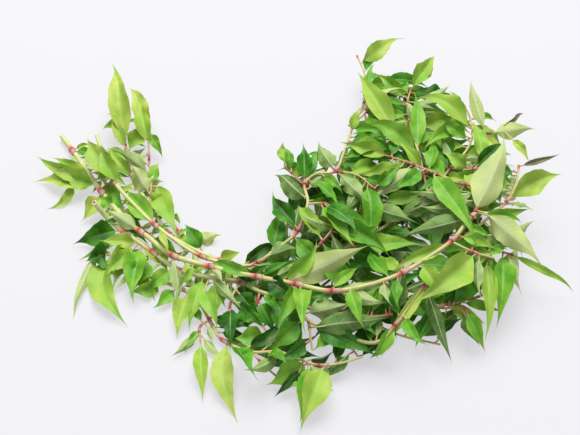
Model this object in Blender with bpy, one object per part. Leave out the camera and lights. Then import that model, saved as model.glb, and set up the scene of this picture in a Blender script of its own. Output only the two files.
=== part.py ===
"""Laksa leaf (Persicaria odorata): one loose, untied bunch of cut leafy stems.

Seven jointed stems lie together in a U on a flat surface, cut ends at the back
left and leafy heads at the right. Each stem is one object: the stem, its side
shoots and its leaves are grown as one piece and fused into one solid.

Route points and leaf places are in millimetres, x to the right, y away from
the front, z up from the surface the bunch lies on. Meshes are in metres.
"""

import random
from dataclasses import dataclass
from math import cos, pi, radians, sin, tan

import bmesh
import bpy
from mathutils import Vector
from mathutils.bvhtree import BVHTree

MM = 0.001
SEED = 23

# Stems: round rods with a swollen joint wherever a leaf sheath sits.
STEM_SIDES = 6
SHOOT_SIDES = 4
JOINT_SWELL = 1.5
SHEATH_SWELL = 1.2
JOINT_HALF = 2.2
REST_SNAP = 0.5

# Leaves: lance-shaped, with a long drawn-out tip and a blade folded along its midrib.
BLADE_THICKNESS = 1.1
PETIOLE_RADIUS = 0.7
BLADE_FOLD = 0.30
BLADE_BOW = 0.07
LEAF_FLOOR = 0.8
CLEARANCE = 0.35
MOST_STALK_BEND = radians(60)
SHORT_STALK = 4.0
BLADE_PROFILE = ((0.18, 0.70), (0.44, 1.00), (0.76, 0.38))
NARROW_PROFILE = ((0.30, 0.95), (0.68, 0.60))
NARROW_WIDTH = 8
FILL_PROFILE = ((0.20, 0.68), (0.46, 1.00), (0.76, 0.40))
# The first points of a leaf belong to its stalk, which may pass in front of others.
STALK_POINTS = 8

# Where the photo's view comes from: a leaf placed by hand turns its face this way,
# and is moved along this line when it has to clear another.
VIEW_RISE = radians(52)
SIGHT = Vector((0.0, -cos(VIEW_RISE), sin(VIEW_RISE)))

# The heap as the photo's view throws it onto the surface: leaves placed by rule keep
# their tips inside it.
HEAP_OUTLINE = (
    (-164, 85), (-146, 91), (-137, 155), (-113, 114), (-100, 46), (-85, 21), (-64, -3),
    (-43, -24), (-24, -18), (1, 8), (-10, 36), (-10, 66), (8, 77), (21, 73), (38, 85),
    (47, 114), (56, 168), (72, 186), (80, 152), (112, 148), (120, 126), (136, 122),
    (150, 110), (180, 100), (170, 73), (184, 51), (165, 30), (160, -10), (155, -29),
    (154, -55), (137, -72), (121, -82), (98, -88), (72, -88), (58, -96), (29, -102),
    (23, -120), (7, -128), (-15, -112), (-34, -106), (-43, -100), (-54, -104), (-61, -94),
    (-73, -94), (-78, -77), (-101, -61), (-121, -50), (-131, -40), (-148, -18), (-142, 9),
    (-159, 45), (-180, 60),
)
HEAP_TOP = 50
ARM_END = -40
ARM_LEAF = (22, 36)
HEAP_LEAF = (36, 54)


@dataclass(frozen=True)
class Shoot:
    """A stem or side shoot: its route, its radius at both ends and where leaves fill it."""

    route: tuple
    radius: float
    tip_radius: float
    fill: tuple = (0.1, 1.0)
    joints: tuple = ()


@dataclass(frozen=True)
class Leaf:
    """A leaf seen in the photo: blade base, tip, full width, whether it lies face down and
    how far it bends to its right, as a share of its length."""

    base: tuple
    tip: tuple
    width: float
    face_down: bool = False
    bend: float = 0.0


@dataclass(frozen=True)
class LeafyStem:
    """One cut stem with everything that grows on it."""

    name: str
    color: tuple
    shoots: tuple
    leaves: tuple
    fill_gap: float


UNDER = True

STEM_FRONT = LeafyStem(
    "stem_front", (0.36, 0.50, 0.16),
    shoots=(
        Shoot(((-174, 91, 4), (-155, 62, 6), (-137, 34, 8), (-116, 6, 10), (-97, -12, 12),
               (-80, -28, 14), (-50, -41, 18), (-22, -51, 22), (3, -60, 27), (27, -69, 32),
               (51, -68, 38), (71, -62, 42), (88, -52, 45), (104, -40, 46), (114, -27, 46),
               (122, -17, 46)), 2.3, 1.5, fill=(0.62, 0.98), joints=(2, 5, 7, 9, 11, 13)),
        Shoot(((122, -17, 46), (127, -4, 47), (124, 5, 47), (113, 10, 46), (101, 19, 44),
               (85, 30, 42), (69, 38, 41)), 1.2, 0.8, joints=(1, 4)),
        Shoot(((104, -40, 46), (118, -46, 43), (132, -49, 40)), 1.1, 0.8, joints=(1,)),
    ),
    leaves=(
        Leaf((-141, 37, 10), (-193, 67, 10), 10), Leaf((-144, 40, 9), (-192, 46, 6), 15),
        Leaf((-159, 38, 8), (-178, 19, 2), 7, bend=-0.2),
        Leaf((-100, -0, 15), (-131, 13, 15), 10, UNDER), Leaf((-18, -54, 27), (5, -68, 22), 13),
        Leaf((-22, -49, 24), (-54, -31, 15), 8), Leaf((-3, -58, 32), (54, -39, 44), 17, UNDER),
        Leaf((28, -74, 34), (64, -80, 32), 9, UNDER), Leaf((28, -71, 38), (67, -67, 38), 6, UNDER),
        Leaf((98, 16, 46), (127, -47, 44), 14), Leaf((105, -9, 46), (67, -33, 42), 12, UNDER),
        Leaf((69, 36, 42), (33, 54, 40), 10), Leaf((77, 27, 43), (43, 22, 38), 9),
        Leaf((127, -18, 47), (152, 47, 54), 20, UNDER), Leaf((131, -19, 46), (168, -52, 34), 16, UNDER),
        Leaf((103, -42, 47), (61, -58, 40), 8), Leaf((-137, 28, 7), (-148, 8, 4), 13),
        Leaf((38, -72, 38), (45, -97, 30), 9), Leaf((83, -56, 46), (98, -78, 36), 11),
        Leaf((-150, 44, 10), (-177, 67, 10), 9), Leaf((-118, 21, 7), (-136, 29, 7), 10),
        Leaf((130, -17, 46), (155, -18, 42), 8), Leaf((123, -39, 46), (74, -82, 34), 18),
        Leaf((-140, 39, 7), (-166, 53, 3), 13),
    ),
    fill_gap=26,
)

STEM_BACK = LeafyStem(
    "stem_back", (0.33, 0.52, 0.17),
    shoots=(
        Shoot(((-146, 86, 10), (-137, 62, 12), (-128, 39, 14), (-109, 13, 17), (-89, -9, 18),
               (-61, -29, 15), (-34, -37, 15), (-22, -36, 17), (-8, -29, 24), (5, -21, 32),
               (12, -2, 38), (10, 13, 40), (18, 22, 41), (31, 25, 40), (38, 45, 37), (46, 75, 32),
               (56, 106, 27), (58, 136, 25), (53, 158, 25)), 1.8, 0.8,
              fill=(0.42, 0.99), joints=(2, 5, 7, 9, 11, 13, 15, 18)),
        Shoot(((12, -2, 38), (24, -4, 40), (30, -11, 40), (27, -25, 38), (14, -41, 34)), 0.9, 0.7),
        Shoot(((10, 13, 40), (4, 22, 37), (-4, 36, 34)), 0.9, 0.7),
        Shoot(((43, 75, 33), (57, 92, 30), (66, 112, 28), (72, 132, 26)), 1.0, 0.7, joints=(1,)),
        Shoot(((31, 25, 40), (46, 20, 42), (58, 8, 41)), 1.0, 0.7),
    ),
    leaves=(
        Leaf((-134, 36, 15), (-153, 78, 20), 16), Leaf((32, 23, 41), (55, -6, 40), 11, UNDER),
        Leaf((4, 28, 36), (-2, 47, 42), 6), Leaf((9, 13, 40), (10, 49, 46), 10),
        Leaf((14, 17, 40), (18, 41, 46), 6), Leaf((31, 26, 40), (18, 51, 42), 12, UNDER),
        Leaf((11, 1, 38), (-10, 33, 32), 15, UNDER), Leaf((5, -20, 34), (-15, 12, 32), 12),
        Leaf((38, 68, 33), (50, 85, 42), 7), Leaf((52, 149, 27), (90, 177, 32), 13),
        Leaf((56, 106, 28), (63, 141, 36), 6), Leaf((-17, -36, 22), (5, -31, 30), 13, UNDER),
        Leaf((-123, 34, 16), (-140, 68, 20), 12), Leaf((-9, 33, 30), (-6, 52, 38), 8),
        Leaf((-88, 1, 11), (-119, 36, 9), 14), Leaf((-85, -3, 20), (-81, -29, 19), 5),
        Leaf((74, 6, 36), (77, 32, 40), 8),
    ),
    fill_gap=17,
)

STEM_THICK = LeafyStem(
    "stem_thick", (0.30, 0.48, 0.14),
    shoots=(
        Shoot(((-137, 14, 18), (-128, 8, 7), (-116, -3, 6), (-104, -12, 6), (-89, -25, 6),
               (-74, -36, 7), (-62, -41, 9), (-33, -49, 12), (-20, -58, 15), (-4, -66, 18),
               (5, -73, 20), (12, -84, 20), (32, -92, 18), (53, -100, 20), (66, -91, 26),
               (79, -75, 33), (89, -64, 38)), 2.3, 1.1,
              fill=(0.40, 0.99), joints=(2, 5, 7, 10, 12, 14)),
        Shoot(((32, -92, 18), (38, -98, 14), (44, -106, 10)), 1.0, 0.7),
        Shoot(((-33, -49, 12), (-38, -60, 13), (-40, -72, 12)), 1.0, 0.7),
        Shoot(((-20, -58, 15), (-22, -72, 10), (-14, -86, 6)), 1.0, 0.7),
        Shoot(((5, -73, 20), (30, -78, 22), (50, -84, 25), (65, -84, 28)), 1.2, 0.8, joints=(2,)),
        Shoot(((12, -84, 20), (13, -96, 20), (14, -104, 18)), 0.9, 0.7),
    ),
    leaves=(
        Leaf((-117, 2, 8), (-155, -10, 3), 17), Leaf((-118, -6, 6), (-147, -25, 2), 6),
        Leaf((-113, -14, 7), (-123, -42, 3), 11), Leaf((-40, -66, 15), (-38, -99, 6), 10),
        Leaf((-5, -89, 17), (-37, -91, 8), 14), Leaf((-55, -47, 13), (-29, -71, 12), 7, UNDER),
        Leaf((-59, -44, 10), (-69, -86, 5), 11), Leaf((12, -85, 22), (59, -105, 12), 12),
        Leaf((8, -79, 24), (40, -74, 26), 15, UNDER), Leaf((86, -68, 38), (101, -107, 10), 8, UNDER),
        Leaf((67, -90, 28), (52, -108, 12), 8), Leaf((-109, -18, 7), (-134, -9, 4), 11),
        Leaf((-98, -28, 6), (-110, -55, 2), 14), Leaf((-82, -36, 8), (-97, -51, 4), 11),
        Leaf((-49, -49, 12), (-50, -76, 6), 12), Leaf((-36, -55, 14), (-18, -77, 10), 13),
        Leaf((-22, -64, 16), (-9, -89, 12), 13), Leaf((6, -85, 20), (-14, -102, 12), 12),
        Leaf((32, -89, 18), (14, -101, 10), 10), Leaf((-57, -54, 10), (-44, -82, 8), 10),
        Leaf((-33, -65, 12), (-16, -81, 10), 12), Leaf((10, -68, 22), (37, -74, 22), 9),
        Leaf((-109, -17, 5), (-130, -40, 3), 10), Leaf((89, -57, 38), (54, -101, 10), 7),
        Leaf((-104, -17, 5), (-106, -59, 2), 15),
    ),
    fill_gap=16,
)

STEM_MIDDLE = LeafyStem(
    "stem_middle", (0.27, 0.49, 0.13),
    shoots=(
        Shoot(((-124, 78, 4), (-118, 54, 5), (-101, 22, 6), (-84, -4, 6), (-60, -22, 8),
               (-30, -36, 9), (0, -35, 12), (35, -26, 18), (70, -8, 26), (95, 12, 33),
               (112, 30, 37), (125, 46, 39), (131, 62, 40), (130, 84, 38), (124, 100, 37)),
              1.7, 0.8, fill=(0.40, 0.99), joints=(1, 3, 8, 10, 12)),
        Shoot(((-118, 54, 5), (-121, 66, 9), (-126, 90, 16), (-128, 109, 21)), 0.9, 0.7,
              fill=(0.5, 1.0), joints=(2,)),
        Shoot(((-101, 22, 6), (-101, 40, 9), (-104, 60, 12), (-106, 86, 18)), 0.9, 0.7,
              fill=(0.5, 1.0), joints=(2,)),
        Shoot(((95, 12, 33), (92, 40, 36), (88, 70, 34), (88, 100, 30), (92, 118, 28)), 1.1, 0.7,
              joints=(1, 3)),
        Shoot(((131, 62, 40), (145, 62, 39), (157, 68, 38)), 0.9, 0.7),
        Shoot(((112, 30, 37), (128, 26, 41), (140, 34, 42)), 0.9, 0.7),
        Shoot(((70, -8, 26), (60, 10, 30), (50, 32, 31)), 1.0, 0.7),
        Shoot(((88, 70, 34), (104, 78, 33), (116, 86, 33)), 0.9, 0.7),
        Shoot(((35, -26, 18), (52, -18, 13), (62, 4, 9)), 1.0, 0.7),
    ),
    leaves=(
        Leaf((-120, 46, 10), (-137, 72, 15), 8), Leaf((-98, 30, 9), (-116, 56, 15), 16, UNDER),
        Leaf((-97, 38, 8), (-75, -12, 6), 15), Leaf((-119, 76, 12), (-135, 150, 32), 15),
        Leaf((-106, 91, 14), (-123, 130, 24), 12), Leaf((-105, 72, 14), (-115, 114, 22), 11),
        Leaf((-106, 86, 18), (-94, 68, 6), 7), Leaf((-120, 72, 10), (-135, 107, 16), 8),
        Leaf((-105, 17, 10), (-89, 29, 12), 12), Leaf((-119, 70, 10), (-106, 95, 14), 12),
        Leaf((85, 123, 30), (115, 154, 34), 10), Leaf((102, 100, 30), (124, 122, 30), 9, UNDER),
        Leaf((86, 47, 38), (94, 111, 36), 11), Leaf((97, 72, 34), (121, 78, 40), 13),
        Leaf((126, 74, 38), (90, 47, 40), 11), Leaf((140, 55, 41), (130, 106, 50), 9, UNDER),
        Leaf((144, 62, 38), (181, 71, 36), 12, UNDER), Leaf((128, 90, 38), (118, 103, 42), 4),
        Leaf((128, 86, 38), (113, 74, 42), 4), Leaf((131, -1, 43), (151, 50, 47), 10),
        Leaf((156, 49, 40), (171, 81, 46), 4), Leaf((125, 28, 42), (105, 39, 46), 10),
        Leaf((125, 54, 40), (106, 72, 44), 9), Leaf((84, 126, 30), (110, 147, 34), 13),
        Leaf((-102, 38, 8), (-98, 58, 12), 8), Leaf((-116, 40, 9), (-91, 41, 12), 15, UNDER),
        Leaf((159, 54, 40), (168, 36, 38), 6),
    ),
    fill_gap=17,
)

STEM_INNER = LeafyStem(
    "stem_inner", (0.22, 0.44, 0.11),
    shoots=(
        Shoot(((-112, 64, 1.2), (-92, 26, 1.2), (-76, -3, 1.2), (-56, -20, 1.4), (-30, -30, 2),
               (-2, -24, 5), (22, 6, 12), (42, 28, 16), (60, 55, 18), (74, 85, 18), (84, 115, 17),
               (84, 140, 16)), 1.6, 0.8, fill=(0.36, 0.99), joints=(1, 3)),
        Shoot(((22, 6, 12), (40, 0, 20), (54, 2, 31)), 1.0, 0.7),
        Shoot(((60, 55, 18), (70, 64, 25), (77, 69, 31)), 1.0, 0.7),
        Shoot(((-2, -24, 5), (-2, 2, 8), (0, 28, 11)), 1.0, 0.7),
        Shoot(((74, 85, 18), (66, 104, 8), (62, 118, 0.7), (60, 132, 0.7)), 1.0, 0.8),
        Shoot(((42, 28, 16), (70, 30, 14), (95, 44, 16), (115, 62, 20)), 1.1, 0.7, joints=(1,)),
    ),
    leaves=(
        Leaf((-68, -11, 6), (-48, -2, 7), 10, UNDER), Leaf((56, 3, 34), (88, -21, 40), 12, UNDER),
        Leaf((81, 71, 33), (48, 139, 34), 15), Leaf((5, -20, 28), (24, -18, 32), 9, UNDER),
        Leaf((-98, 3, 6), (-80, 13, 9), 11), Leaf((-64, -20, 5), (-75, 6, 9), 12),
        Leaf((-98, -8, 5), (-74, -19, 6), 8), Leaf((-34, -28, 6), (-12, -17, 8), 10),
        Leaf((-54, -28, 6), (-34, -21, 8), 8),
    ),
    fill_gap=15,
)

STEM_OUTER = LeafyStem(
    "stem_outer", (0.34, 0.53, 0.15),
    shoots=(
        Shoot(((-134, -12, 1.3), (-116, -25, 1.3), (-97, -37, 1.6), (-75, -48, 4), (-63, -57, 6),
               (-53, -74, 5), (-44, -89, 5), (-25, -100, 9), (-8, -103, 14), (5, -108, 14),
               (18, -112, 13), (32, -110, 12), (46, -106, 13)), 1.6, 0.8,
              fill=(0.25, 0.99), joints=(1, 3, 5, 6, 8, 10)),
        Shoot(((-53, -74, 5), (-59, -80, 6), (-58, -90, 5)), 0.9, 0.7),
        Shoot(((-97, -37, 1.6), (-106, -36, 4), (-116, -30, 5)), 0.9, 0.7),
        Shoot(((-25, -100, 9), (-14, -112, 8), (-4, -120, 6)), 0.9, 0.7),
    ),
    leaves=(
        Leaf((-135, -20, 5), (-147, -77, 2), 7, UNDER),
        Leaf((-131, -24, 5), (-100, -72, 3), 18, bend=0.2), Leaf((-76, -48, 7), (-92, -66, 3), 9),
        Leaf((-70, -52, 8), (-75, -89, 3), 12), Leaf((-60, -78, 6), (-69, -98, 3), 5),
        Leaf((-57, -84, 7), (-76, -101, 3), 6, UNDER), Leaf((-57, -92, 6), (-54, -133, 2), 9),
        Leaf((-43, -92, 8), (-28, -147, 2), 14, bend=0.12), Leaf((10, -118, 13), (-16, -123, 4), 18),
        Leaf((11, -112, 14), (7, -149, 3), 11), Leaf((21, -108, 13), (4, -151, 2), 17),
        Leaf((13, -103, 16), (27, -129, 6), 14, UNDER), Leaf((-118, -8, 4), (-141, -24, 3), 17),
        Leaf((6, -116, 12), (-11, -130, 3), 6), Leaf((-88, -45, 5), (-111, -51, 3), 12),
        Leaf((14, -98, 14), (30, -103, 14), 11), Leaf((-105, -30, 3), (-89, -56, 2), 8),
    ),
    fill_gap=18,
)

STEM_RIGHT = LeafyStem(
    "stem_right", (0.25, 0.47, 0.12),
    shoots=(
        Shoot(((-155, 80, 1.5), (-133, 42, 1.5), (-114, 14, 1.5), (-95, -6, 1.5), (-78, -19, 1.5),
               (-55, -31, 1.5), (-20, -44, 2), (20, -48, 4), (60, -44, 8), (92, -32, 16),
               (118, -20, 25), (134, -10, 32), (147, 0, 37), (155, 14, 38), (160, 32, 38)),
              1.9, 0.9, fill=(0.42, 0.99), joints=(1, 4, 10, 12)),
        Shoot(((60, -44, 8), (75, -60, 13), (95, -72, 18), (113, -77, 24)), 1.1, 0.7, joints=(2,)),
        Shoot(((118, -20, 25), (132, -32, 29), (147, -40, 31)), 1.1, 0.7, joints=(1,)),
        Shoot(((95, -72, 18), (118, -66, 18), (138, -58, 18)), 1.0, 0.7),
        Shoot(((20, -48, 4), (42, -66, 3), (70, -82, 0.8), (98, -90, 0.7)), 1.1, 0.8),
        Shoot(((92, -32, 16), (112, -6, 11), (124, 20, 4), (128, 36, 0.7), (132, 52, 0.7)), 1.1, 0.8),
        Shoot(((20, -48, 4), (42, -30, 7), (66, -16, 10), (88, 0, 12)), 1.1, 0.7, joints=(1,)),
    ),
    leaves=(
        Leaf((147, 3, 39), (191, 22, 38), 15, bend=-0.12), Leaf((160, 32, 38), (190, 39, 42), 4),
        Leaf((148, -39, 32), (193, -52, 10), 5), Leaf((138, -41, 34), (134, -88, 14), 13),
        Leaf((115, -77, 28), (126, -100, 6), 9), Leaf((109, -79, 26), (122, -98, 8), 10, UNDER),
        Leaf((141, -42, 32), (150, -65, 22), 8, UNDER), Leaf((91, -73, 24), (78, -99, 10), 9),
        Leaf((99, -58, 28), (126, -85, 18), 8), Leaf((72, -62, 15), (97, -80, 12), 12),
        Leaf((96, -68, 20), (117, -58, 25), 13), Leaf((129, -46, 29), (126, -100, 8), 10),
        Leaf((-124, 22, 3), (-98, -13, 5), 13), Leaf((-99, -2, 3), (-72, -27, 5), 12),
        Leaf((-139, 48, 3), (-116, 17, 3), 14), Leaf((-104, -16, 4), (-84, -39, 4), 16),
    ),
    fill_gap=15,
)

BUNCH = (STEM_FRONT, STEM_BACK, STEM_THICK, STEM_MIDDLE, STEM_INNER, STEM_OUTER, STEM_RIGHT)


def rod_rings(shoot):
    """(centre, direction, radius) of each ring of a stem, with its swollen joints."""
    knots = [Vector(p) for p in shoot.route]
    last = len(knots) - 1
    rings = []
    for i, knot in enumerate(knots):
        before = knots[max(i - 1, 0)]
        after = knots[min(i + 1, last)]
        along = (after - before).normalized()
        radius = shoot.radius + (shoot.tip_radius - shoot.radius) * i / last
        if i in shoot.joints and 0 < i < last:
            rings.append((knot - along * JOINT_HALF, along, radius))
            rings.append((knot, along, radius * JOINT_SWELL))
            rings.append((knot + along * JOINT_HALF, along, radius * SHEATH_SWELL))
        else:
            rings.append((knot, along, radius))
    return rings


def rod_solid(rings, sides, extra=0.0):
    """Vertices and faces of a closed rod; extra makes it thicker for a clearance test."""
    verts, faces = [], []
    for centre, along, radius in rings:
        across = along.cross(Vector((0, 0, 1))).normalized()
        up = across.cross(along)
        for k in range(sides):
            turn = 2 * pi * (k + (0.5 if sides == SHOOT_SIDES else 0.0)) / sides
            verts.append(centre + (radius + extra) * (across * cos(turn) + up * sin(turn)))
    for i in range(len(rings) - 1):
        for k in range(sides):
            a, b = i * sides + k, i * sides + (k + 1) % sides
            faces += [(a, a + sides, b + sides), (a, b + sides, b)]
    for k in range(1, sides - 1):
        faces.append((0, k, k + 1))
        top = (len(rings) - 1) * sides
        faces.append((top, top + k + 1, top + k))
    return verts, faces


def rest_on_surface(verts):
    """Rods that lie on the surface get a narrow flat along their underside."""
    for v in verts:
        if v.z < REST_SNAP:
            v.z = 0.0


def blade_solid(root, base, tip, width, normal, bow, bend, profile, extra=0.0):
    """Vertices and faces of a leaf: a stalk from the root, then a folded, bowed blade."""
    length = (tip - base).length
    along = (tip - base) / length
    up = (normal - along * normal.dot(along)).normalized()
    across = along.cross(up)
    thick = BLADE_THICKNESS / 2 + extra
    stalk = (base - root).normalized()
    stalk_across = stalk.cross(up).normalized()
    stalk_up = stalk_across.cross(stalk)
    joint_across = (across + stalk_across).normalized()
    thin = PETIOLE_RADIUS + extra
    stations = [(root, thin, 0.0, stalk_across, stalk_up)]
    if (base - root).length > SHORT_STALK:
        stations.append((base, thin, 0.0, joint_across, up))
    for t, share in profile:
        arc = 4 * t * (1 - t) * length
        centre = base + along * length * t + up * bow * arc + across * bend * arc
        half = max(width / 2 * share, PETIOLE_RADIUS) + extra
        stations.append((centre, half, BLADE_FOLD * half, across, up))
    verts = []
    for centre, half, fold, side, rise in stations:
        verts += [centre - side * half + rise * fold, centre + rise * thick,
                  centre + side * half + rise * fold, centre - rise * thick]
    point = len(verts)
    verts.append(tip + along * extra)
    faces = [(0, 3, 2), (0, 2, 1)]
    for i in range(len(stations) - 1):
        a, b = 4 * i, 4 * i + 4
        faces += [(a, a + 1, b + 1), (a, b + 1, b), (a + 1, a + 2, b + 1), (a + 2, b + 2, b + 1),
                  (a + 3, a, b + 3), (a, b, b + 3), (a + 2, a + 3, b + 3), (a + 2, b + 3, b + 2)]
    e = point - 4
    faces += [(e, e + 1, point), (e + 1, e + 2, point), (e + 2, e + 3, point), (e + 3, e, point)]
    for v in verts:
        v.z = max(v.z, LEAF_FLOOR - min(extra, LEAF_FLOOR))
    return verts, faces


def inside_heap(x, y):
    """True when a point in plan lies inside HEAP_OUTLINE."""
    inside = False
    for (ax, ay), (bx, by) in zip(HEAP_OUTLINE, HEAP_OUTLINE[1:] + HEAP_OUTLINE[:1]):
        if (ay > y) != (by > y) and x < ax + (bx - ax) * (y - ay) / (by - ay):
            inside = not inside
    return inside


class Space:
    """The solids already placed, so that a new one can be tested against them."""

    def __init__(self):
        self.taken = []
        self.shown = []

    @staticmethod
    def _box(verts):
        return [(min(v[i] for v in verts), max(v[i] for v in verts)) for i in range(3)]

    def add(self, owner, verts, faces):
        """Keep a placed solid under its owner's name."""
        self.taken.append((owner, self._box(verts), BVHTree.FromPolygons(verts, faces)))

    def hits(self, owner, verts, faces):
        """How many solids of other stems, and of its own stem, a solid would cross."""
        box, tree = self._box(verts), None
        others = own = 0
        for other, near, other_tree in self.taken:
            if any(box[i][0] > near[i][1] or box[i][1] < near[i][0] for i in range(3)):
                continue
            tree = tree or BVHTree.FromPolygons(verts, faces)
            if tree.overlap(other_tree):
                if other == owner:
                    own += 1
                else:
                    others += 1
        return others, own

    def show(self, verts, faces):
        """Note a solid that the photo shows in front of the heap."""
        self.shown.append(BVHTree.FromPolygons(verts, faces))

    def hides(self, points):
        """True if one of the points stands between the viewer and a solid that is shown."""
        return any(tree.ray_cast(p, -SIGHT)[0] for p in points for tree in self.shown)


def nearest_on(lines, point):
    """The point on the stem's centre lines nearest to a given one."""
    best = None
    for line in lines:
        for a, b in zip(line, line[1:]):
            run = b - a
            t = min(max((point - a).dot(run) / run.length_squared, 0.05), 0.95)
            spot = a + run * t
            far = (spot - point).length
            if best is None or far < best[0]:
                best = (far, spot)
    return best[1]


def placed(stem, space, lines, leaf):
    """A leaf from the photo, slid along the line of sight or rolled until it is clear."""
    base, tip = Vector(leaf.base), Vector(leaf.tip)
    root = nearest_on(lines, base)
    facing = -SIGHT if leaf.face_down else SIGHT
    side = (tip - base).normalized().cross(facing)
    bow = -BLADE_BOW if leaf.face_down else BLADE_BOW
    best = None
    for trial in range(90):
        slide = ((trial % 15 + 1) // 2) * (1 if trial % 2 else -1) * 1.5
        roll = (0.0, 0.35, -0.35, 0.7, -0.7, 1.0)[trial // 15]
        start = base + SIGHT * slide * 0.4
        end = tip + SIGHT * slide
        end.z = max(end.z, LEAF_FLOOR)
        if (start - root).length < 4 or (start - root).angle(end - start) > MOST_STALK_BEND:
            start = root + (end - root).normalized() * 3.5
        profile = BLADE_PROFILE if leaf.width > NARROW_WIDTH else NARROW_PROFILE
        shape = (root, start, end, leaf.width, facing + side * roll, bow, leaf.bend, profile)
        others, own = space.hits(stem.name, *blade_solid(*shape, extra=CLEARANCE))
        if others == 0 and (best is None or own < best[0]):
            best = (own, shape)
            if own <= 1:
                break
    return best[1] if best else None


def filled(stem, space, rng, root, along, side):
    """A leaf placed by rule beside a joint, turned until it is clear of all the others."""
    across = along.cross(Vector((0, 0, 1))).normalized() * side
    for trial in range(26):
        spread = radians(rng.uniform(25, 75) + 2 * trial)
        lean = rng.uniform(-0.6, 0.1) if root.x < ARM_END else rng.uniform(-0.5, 0.55)
        heading = (along * cos(spread) + across * sin(spread) + Vector((0, 0, lean))).normalized()
        length = rng.uniform(*(ARM_LEAF if root.x < ARM_END else HEAP_LEAF)) * (1 - 0.012 * trial)
        base = root + heading * 3.5
        tip = base + heading * length
        if not inside_heap(tip.x, tip.y + tip.z / tan(VIEW_RISE)) or not 1.2 < tip.z < HEAP_TOP:
            continue
        facing = Vector((rng.uniform(-0.7, 0.7), rng.uniform(-1.2, 0.2), 1.0)).normalized()
        face_down = rng.random() < 0.25
        facing = -facing if face_down else facing
        bow = (-1 if face_down else 1) * rng.uniform(0.02, 0.12)
        bend = rng.uniform(-0.1, 0.1)
        width = length * rng.uniform(0.25, 0.31)
        shape = (root, base, tip, width, facing, bow, bend, FILL_PROFILE)
        verts, faces = blade_solid(*shape, extra=CLEARANCE)
        others, own = space.hits(stem.name, verts, faces)
        if others == 0 and own <= 1 and not space.hides(verts[STALK_POINTS:]):
            return shape
    return None


def grow_bunch():
    """All rods and leaves of the bunch, as {stem name: [(verts, faces)]}, rods first."""
    space, solids, lines = Space(), {}, {}
    for stem in BUNCH:
        solids[stem.name] = []
        lines[stem.name] = [[Vector(p) for p in shoot.route] for shoot in stem.shoots]
        for i, shoot in enumerate(stem.shoots):
            rings, sides = rod_rings(shoot), SHOOT_SIDES if i else STEM_SIDES
            verts, faces = rod_solid(rings, sides)
            rest_on_surface(verts)
            solids[stem.name].append((verts, faces))
            space.add(stem.name, *rod_solid(rings, sides, CLEARANCE))
            if stem is STEM_FRONT:
                space.show(verts, faces)
    for stem in BUNCH:
        for leaf in stem.leaves:
            shape = placed(stem, space, lines[stem.name], leaf)
            if shape:
                solids[stem.name].append(blade_solid(*shape))
                space.add(stem.name, *solids[stem.name][-1])
                space.show(*solids[stem.name][-1])
    for stem in BUNCH:
        rng = random.Random(SEED + len(stem.name) + len(stem.leaves))
        side = 1
        for shoot in stem.shoots:
            for spot, along in leaf_spots(shoot, stem.fill_gap):
                shape = filled(stem, space, rng, spot, along, side)
                side = -side
                if shape:
                    solids[stem.name].append(blade_solid(*shape))
                    space.add(stem.name, *solids[stem.name][-1])
    return solids


def leaf_spots(shoot, gap):
    """Points a gap apart along the part of a shoot that bears leaves placed by rule."""
    knots = [Vector(p) for p in shoot.route]
    runs = [(b - a).length for a, b in zip(knots, knots[1:])]
    total = sum(runs)
    reach = shoot.fill[0] * total + gap / 3
    spots = []
    while reach < shoot.fill[1] * total:
        left = reach
        for i, run in enumerate(runs):
            if left <= run:
                along = (knots[i + 1] - knots[i]) / run
                spots.append((knots[i] + along * left, along))
                break
            left -= run
        reach += gap
    return spots


def mesh_object(name, verts, faces):
    """A linked mesh object from millimetre vertices."""
    mesh = bpy.data.meshes.new(name)
    mesh.from_pydata([v * MM for v in verts], [], faces)
    obj = bpy.data.objects.new(name, mesh)
    bpy.context.scene.collection.objects.link(obj)
    return obj


def remove_scraps(mesh):
    """Keep the one outer skin: loose scraps go, and so do the walls of sealed hollows."""
    bm = bmesh.new()
    bm.from_mesh(mesh)
    bmesh.ops.triangulate(bm, faces=bm.faces)
    left, shells = set(bm.faces), []
    while left:
        start = left.pop()
        shell, front = {start}, [start]
        while front:
            for edge in front.pop().edges:
                for face in edge.link_faces:
                    if face in left:
                        left.discard(face)
                        shell.add(face)
                        front.append(face)
        shells.append(shell)
    shells.sort(key=len, reverse=True)
    for shell in shells[1:]:
        bmesh.ops.delete(bm, geom=list(shell), context="FACES")
    bm.to_mesh(mesh)
    bm.free()


def fuse(stem, solids):
    """One object from a stem's rods and leaves, joined by a Boolean union."""
    body = mesh_object(stem.name, *solids[0])
    parts = bpy.data.collections.new(stem.name + "_parts")
    bpy.context.scene.collection.children.link(parts)
    for verts, faces in solids[1:]:
        piece = mesh_object(stem.name + "_piece", verts, faces)
        bpy.context.scene.collection.objects.unlink(piece)
        parts.objects.link(piece)
    union = body.modifiers.new("grown_together", "BOOLEAN")
    union.operation = "UNION"
    union.operand_type = "COLLECTION"
    union.collection = parts
    # Thin stalks graze the rods at shallow angles, where the exact solver leaves holes.
    union.solver = "MANIFOLD"
    graph = bpy.context.evaluated_depsgraph_get()
    mesh = bpy.data.meshes.new_from_object(body.evaluated_get(graph))
    body.modifiers.remove(union)
    body.data = mesh
    mesh.name = stem.name
    for piece in list(parts.objects):
        bpy.data.objects.remove(piece)
    bpy.data.collections.remove(parts)
    remove_scraps(mesh)
    mesh.shade_smooth()
    mesh.set_sharp_from_angle(angle=radians(35))
    mesh.materials.clear()
    mesh.materials.append(leaf_material(stem))
    return body


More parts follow.
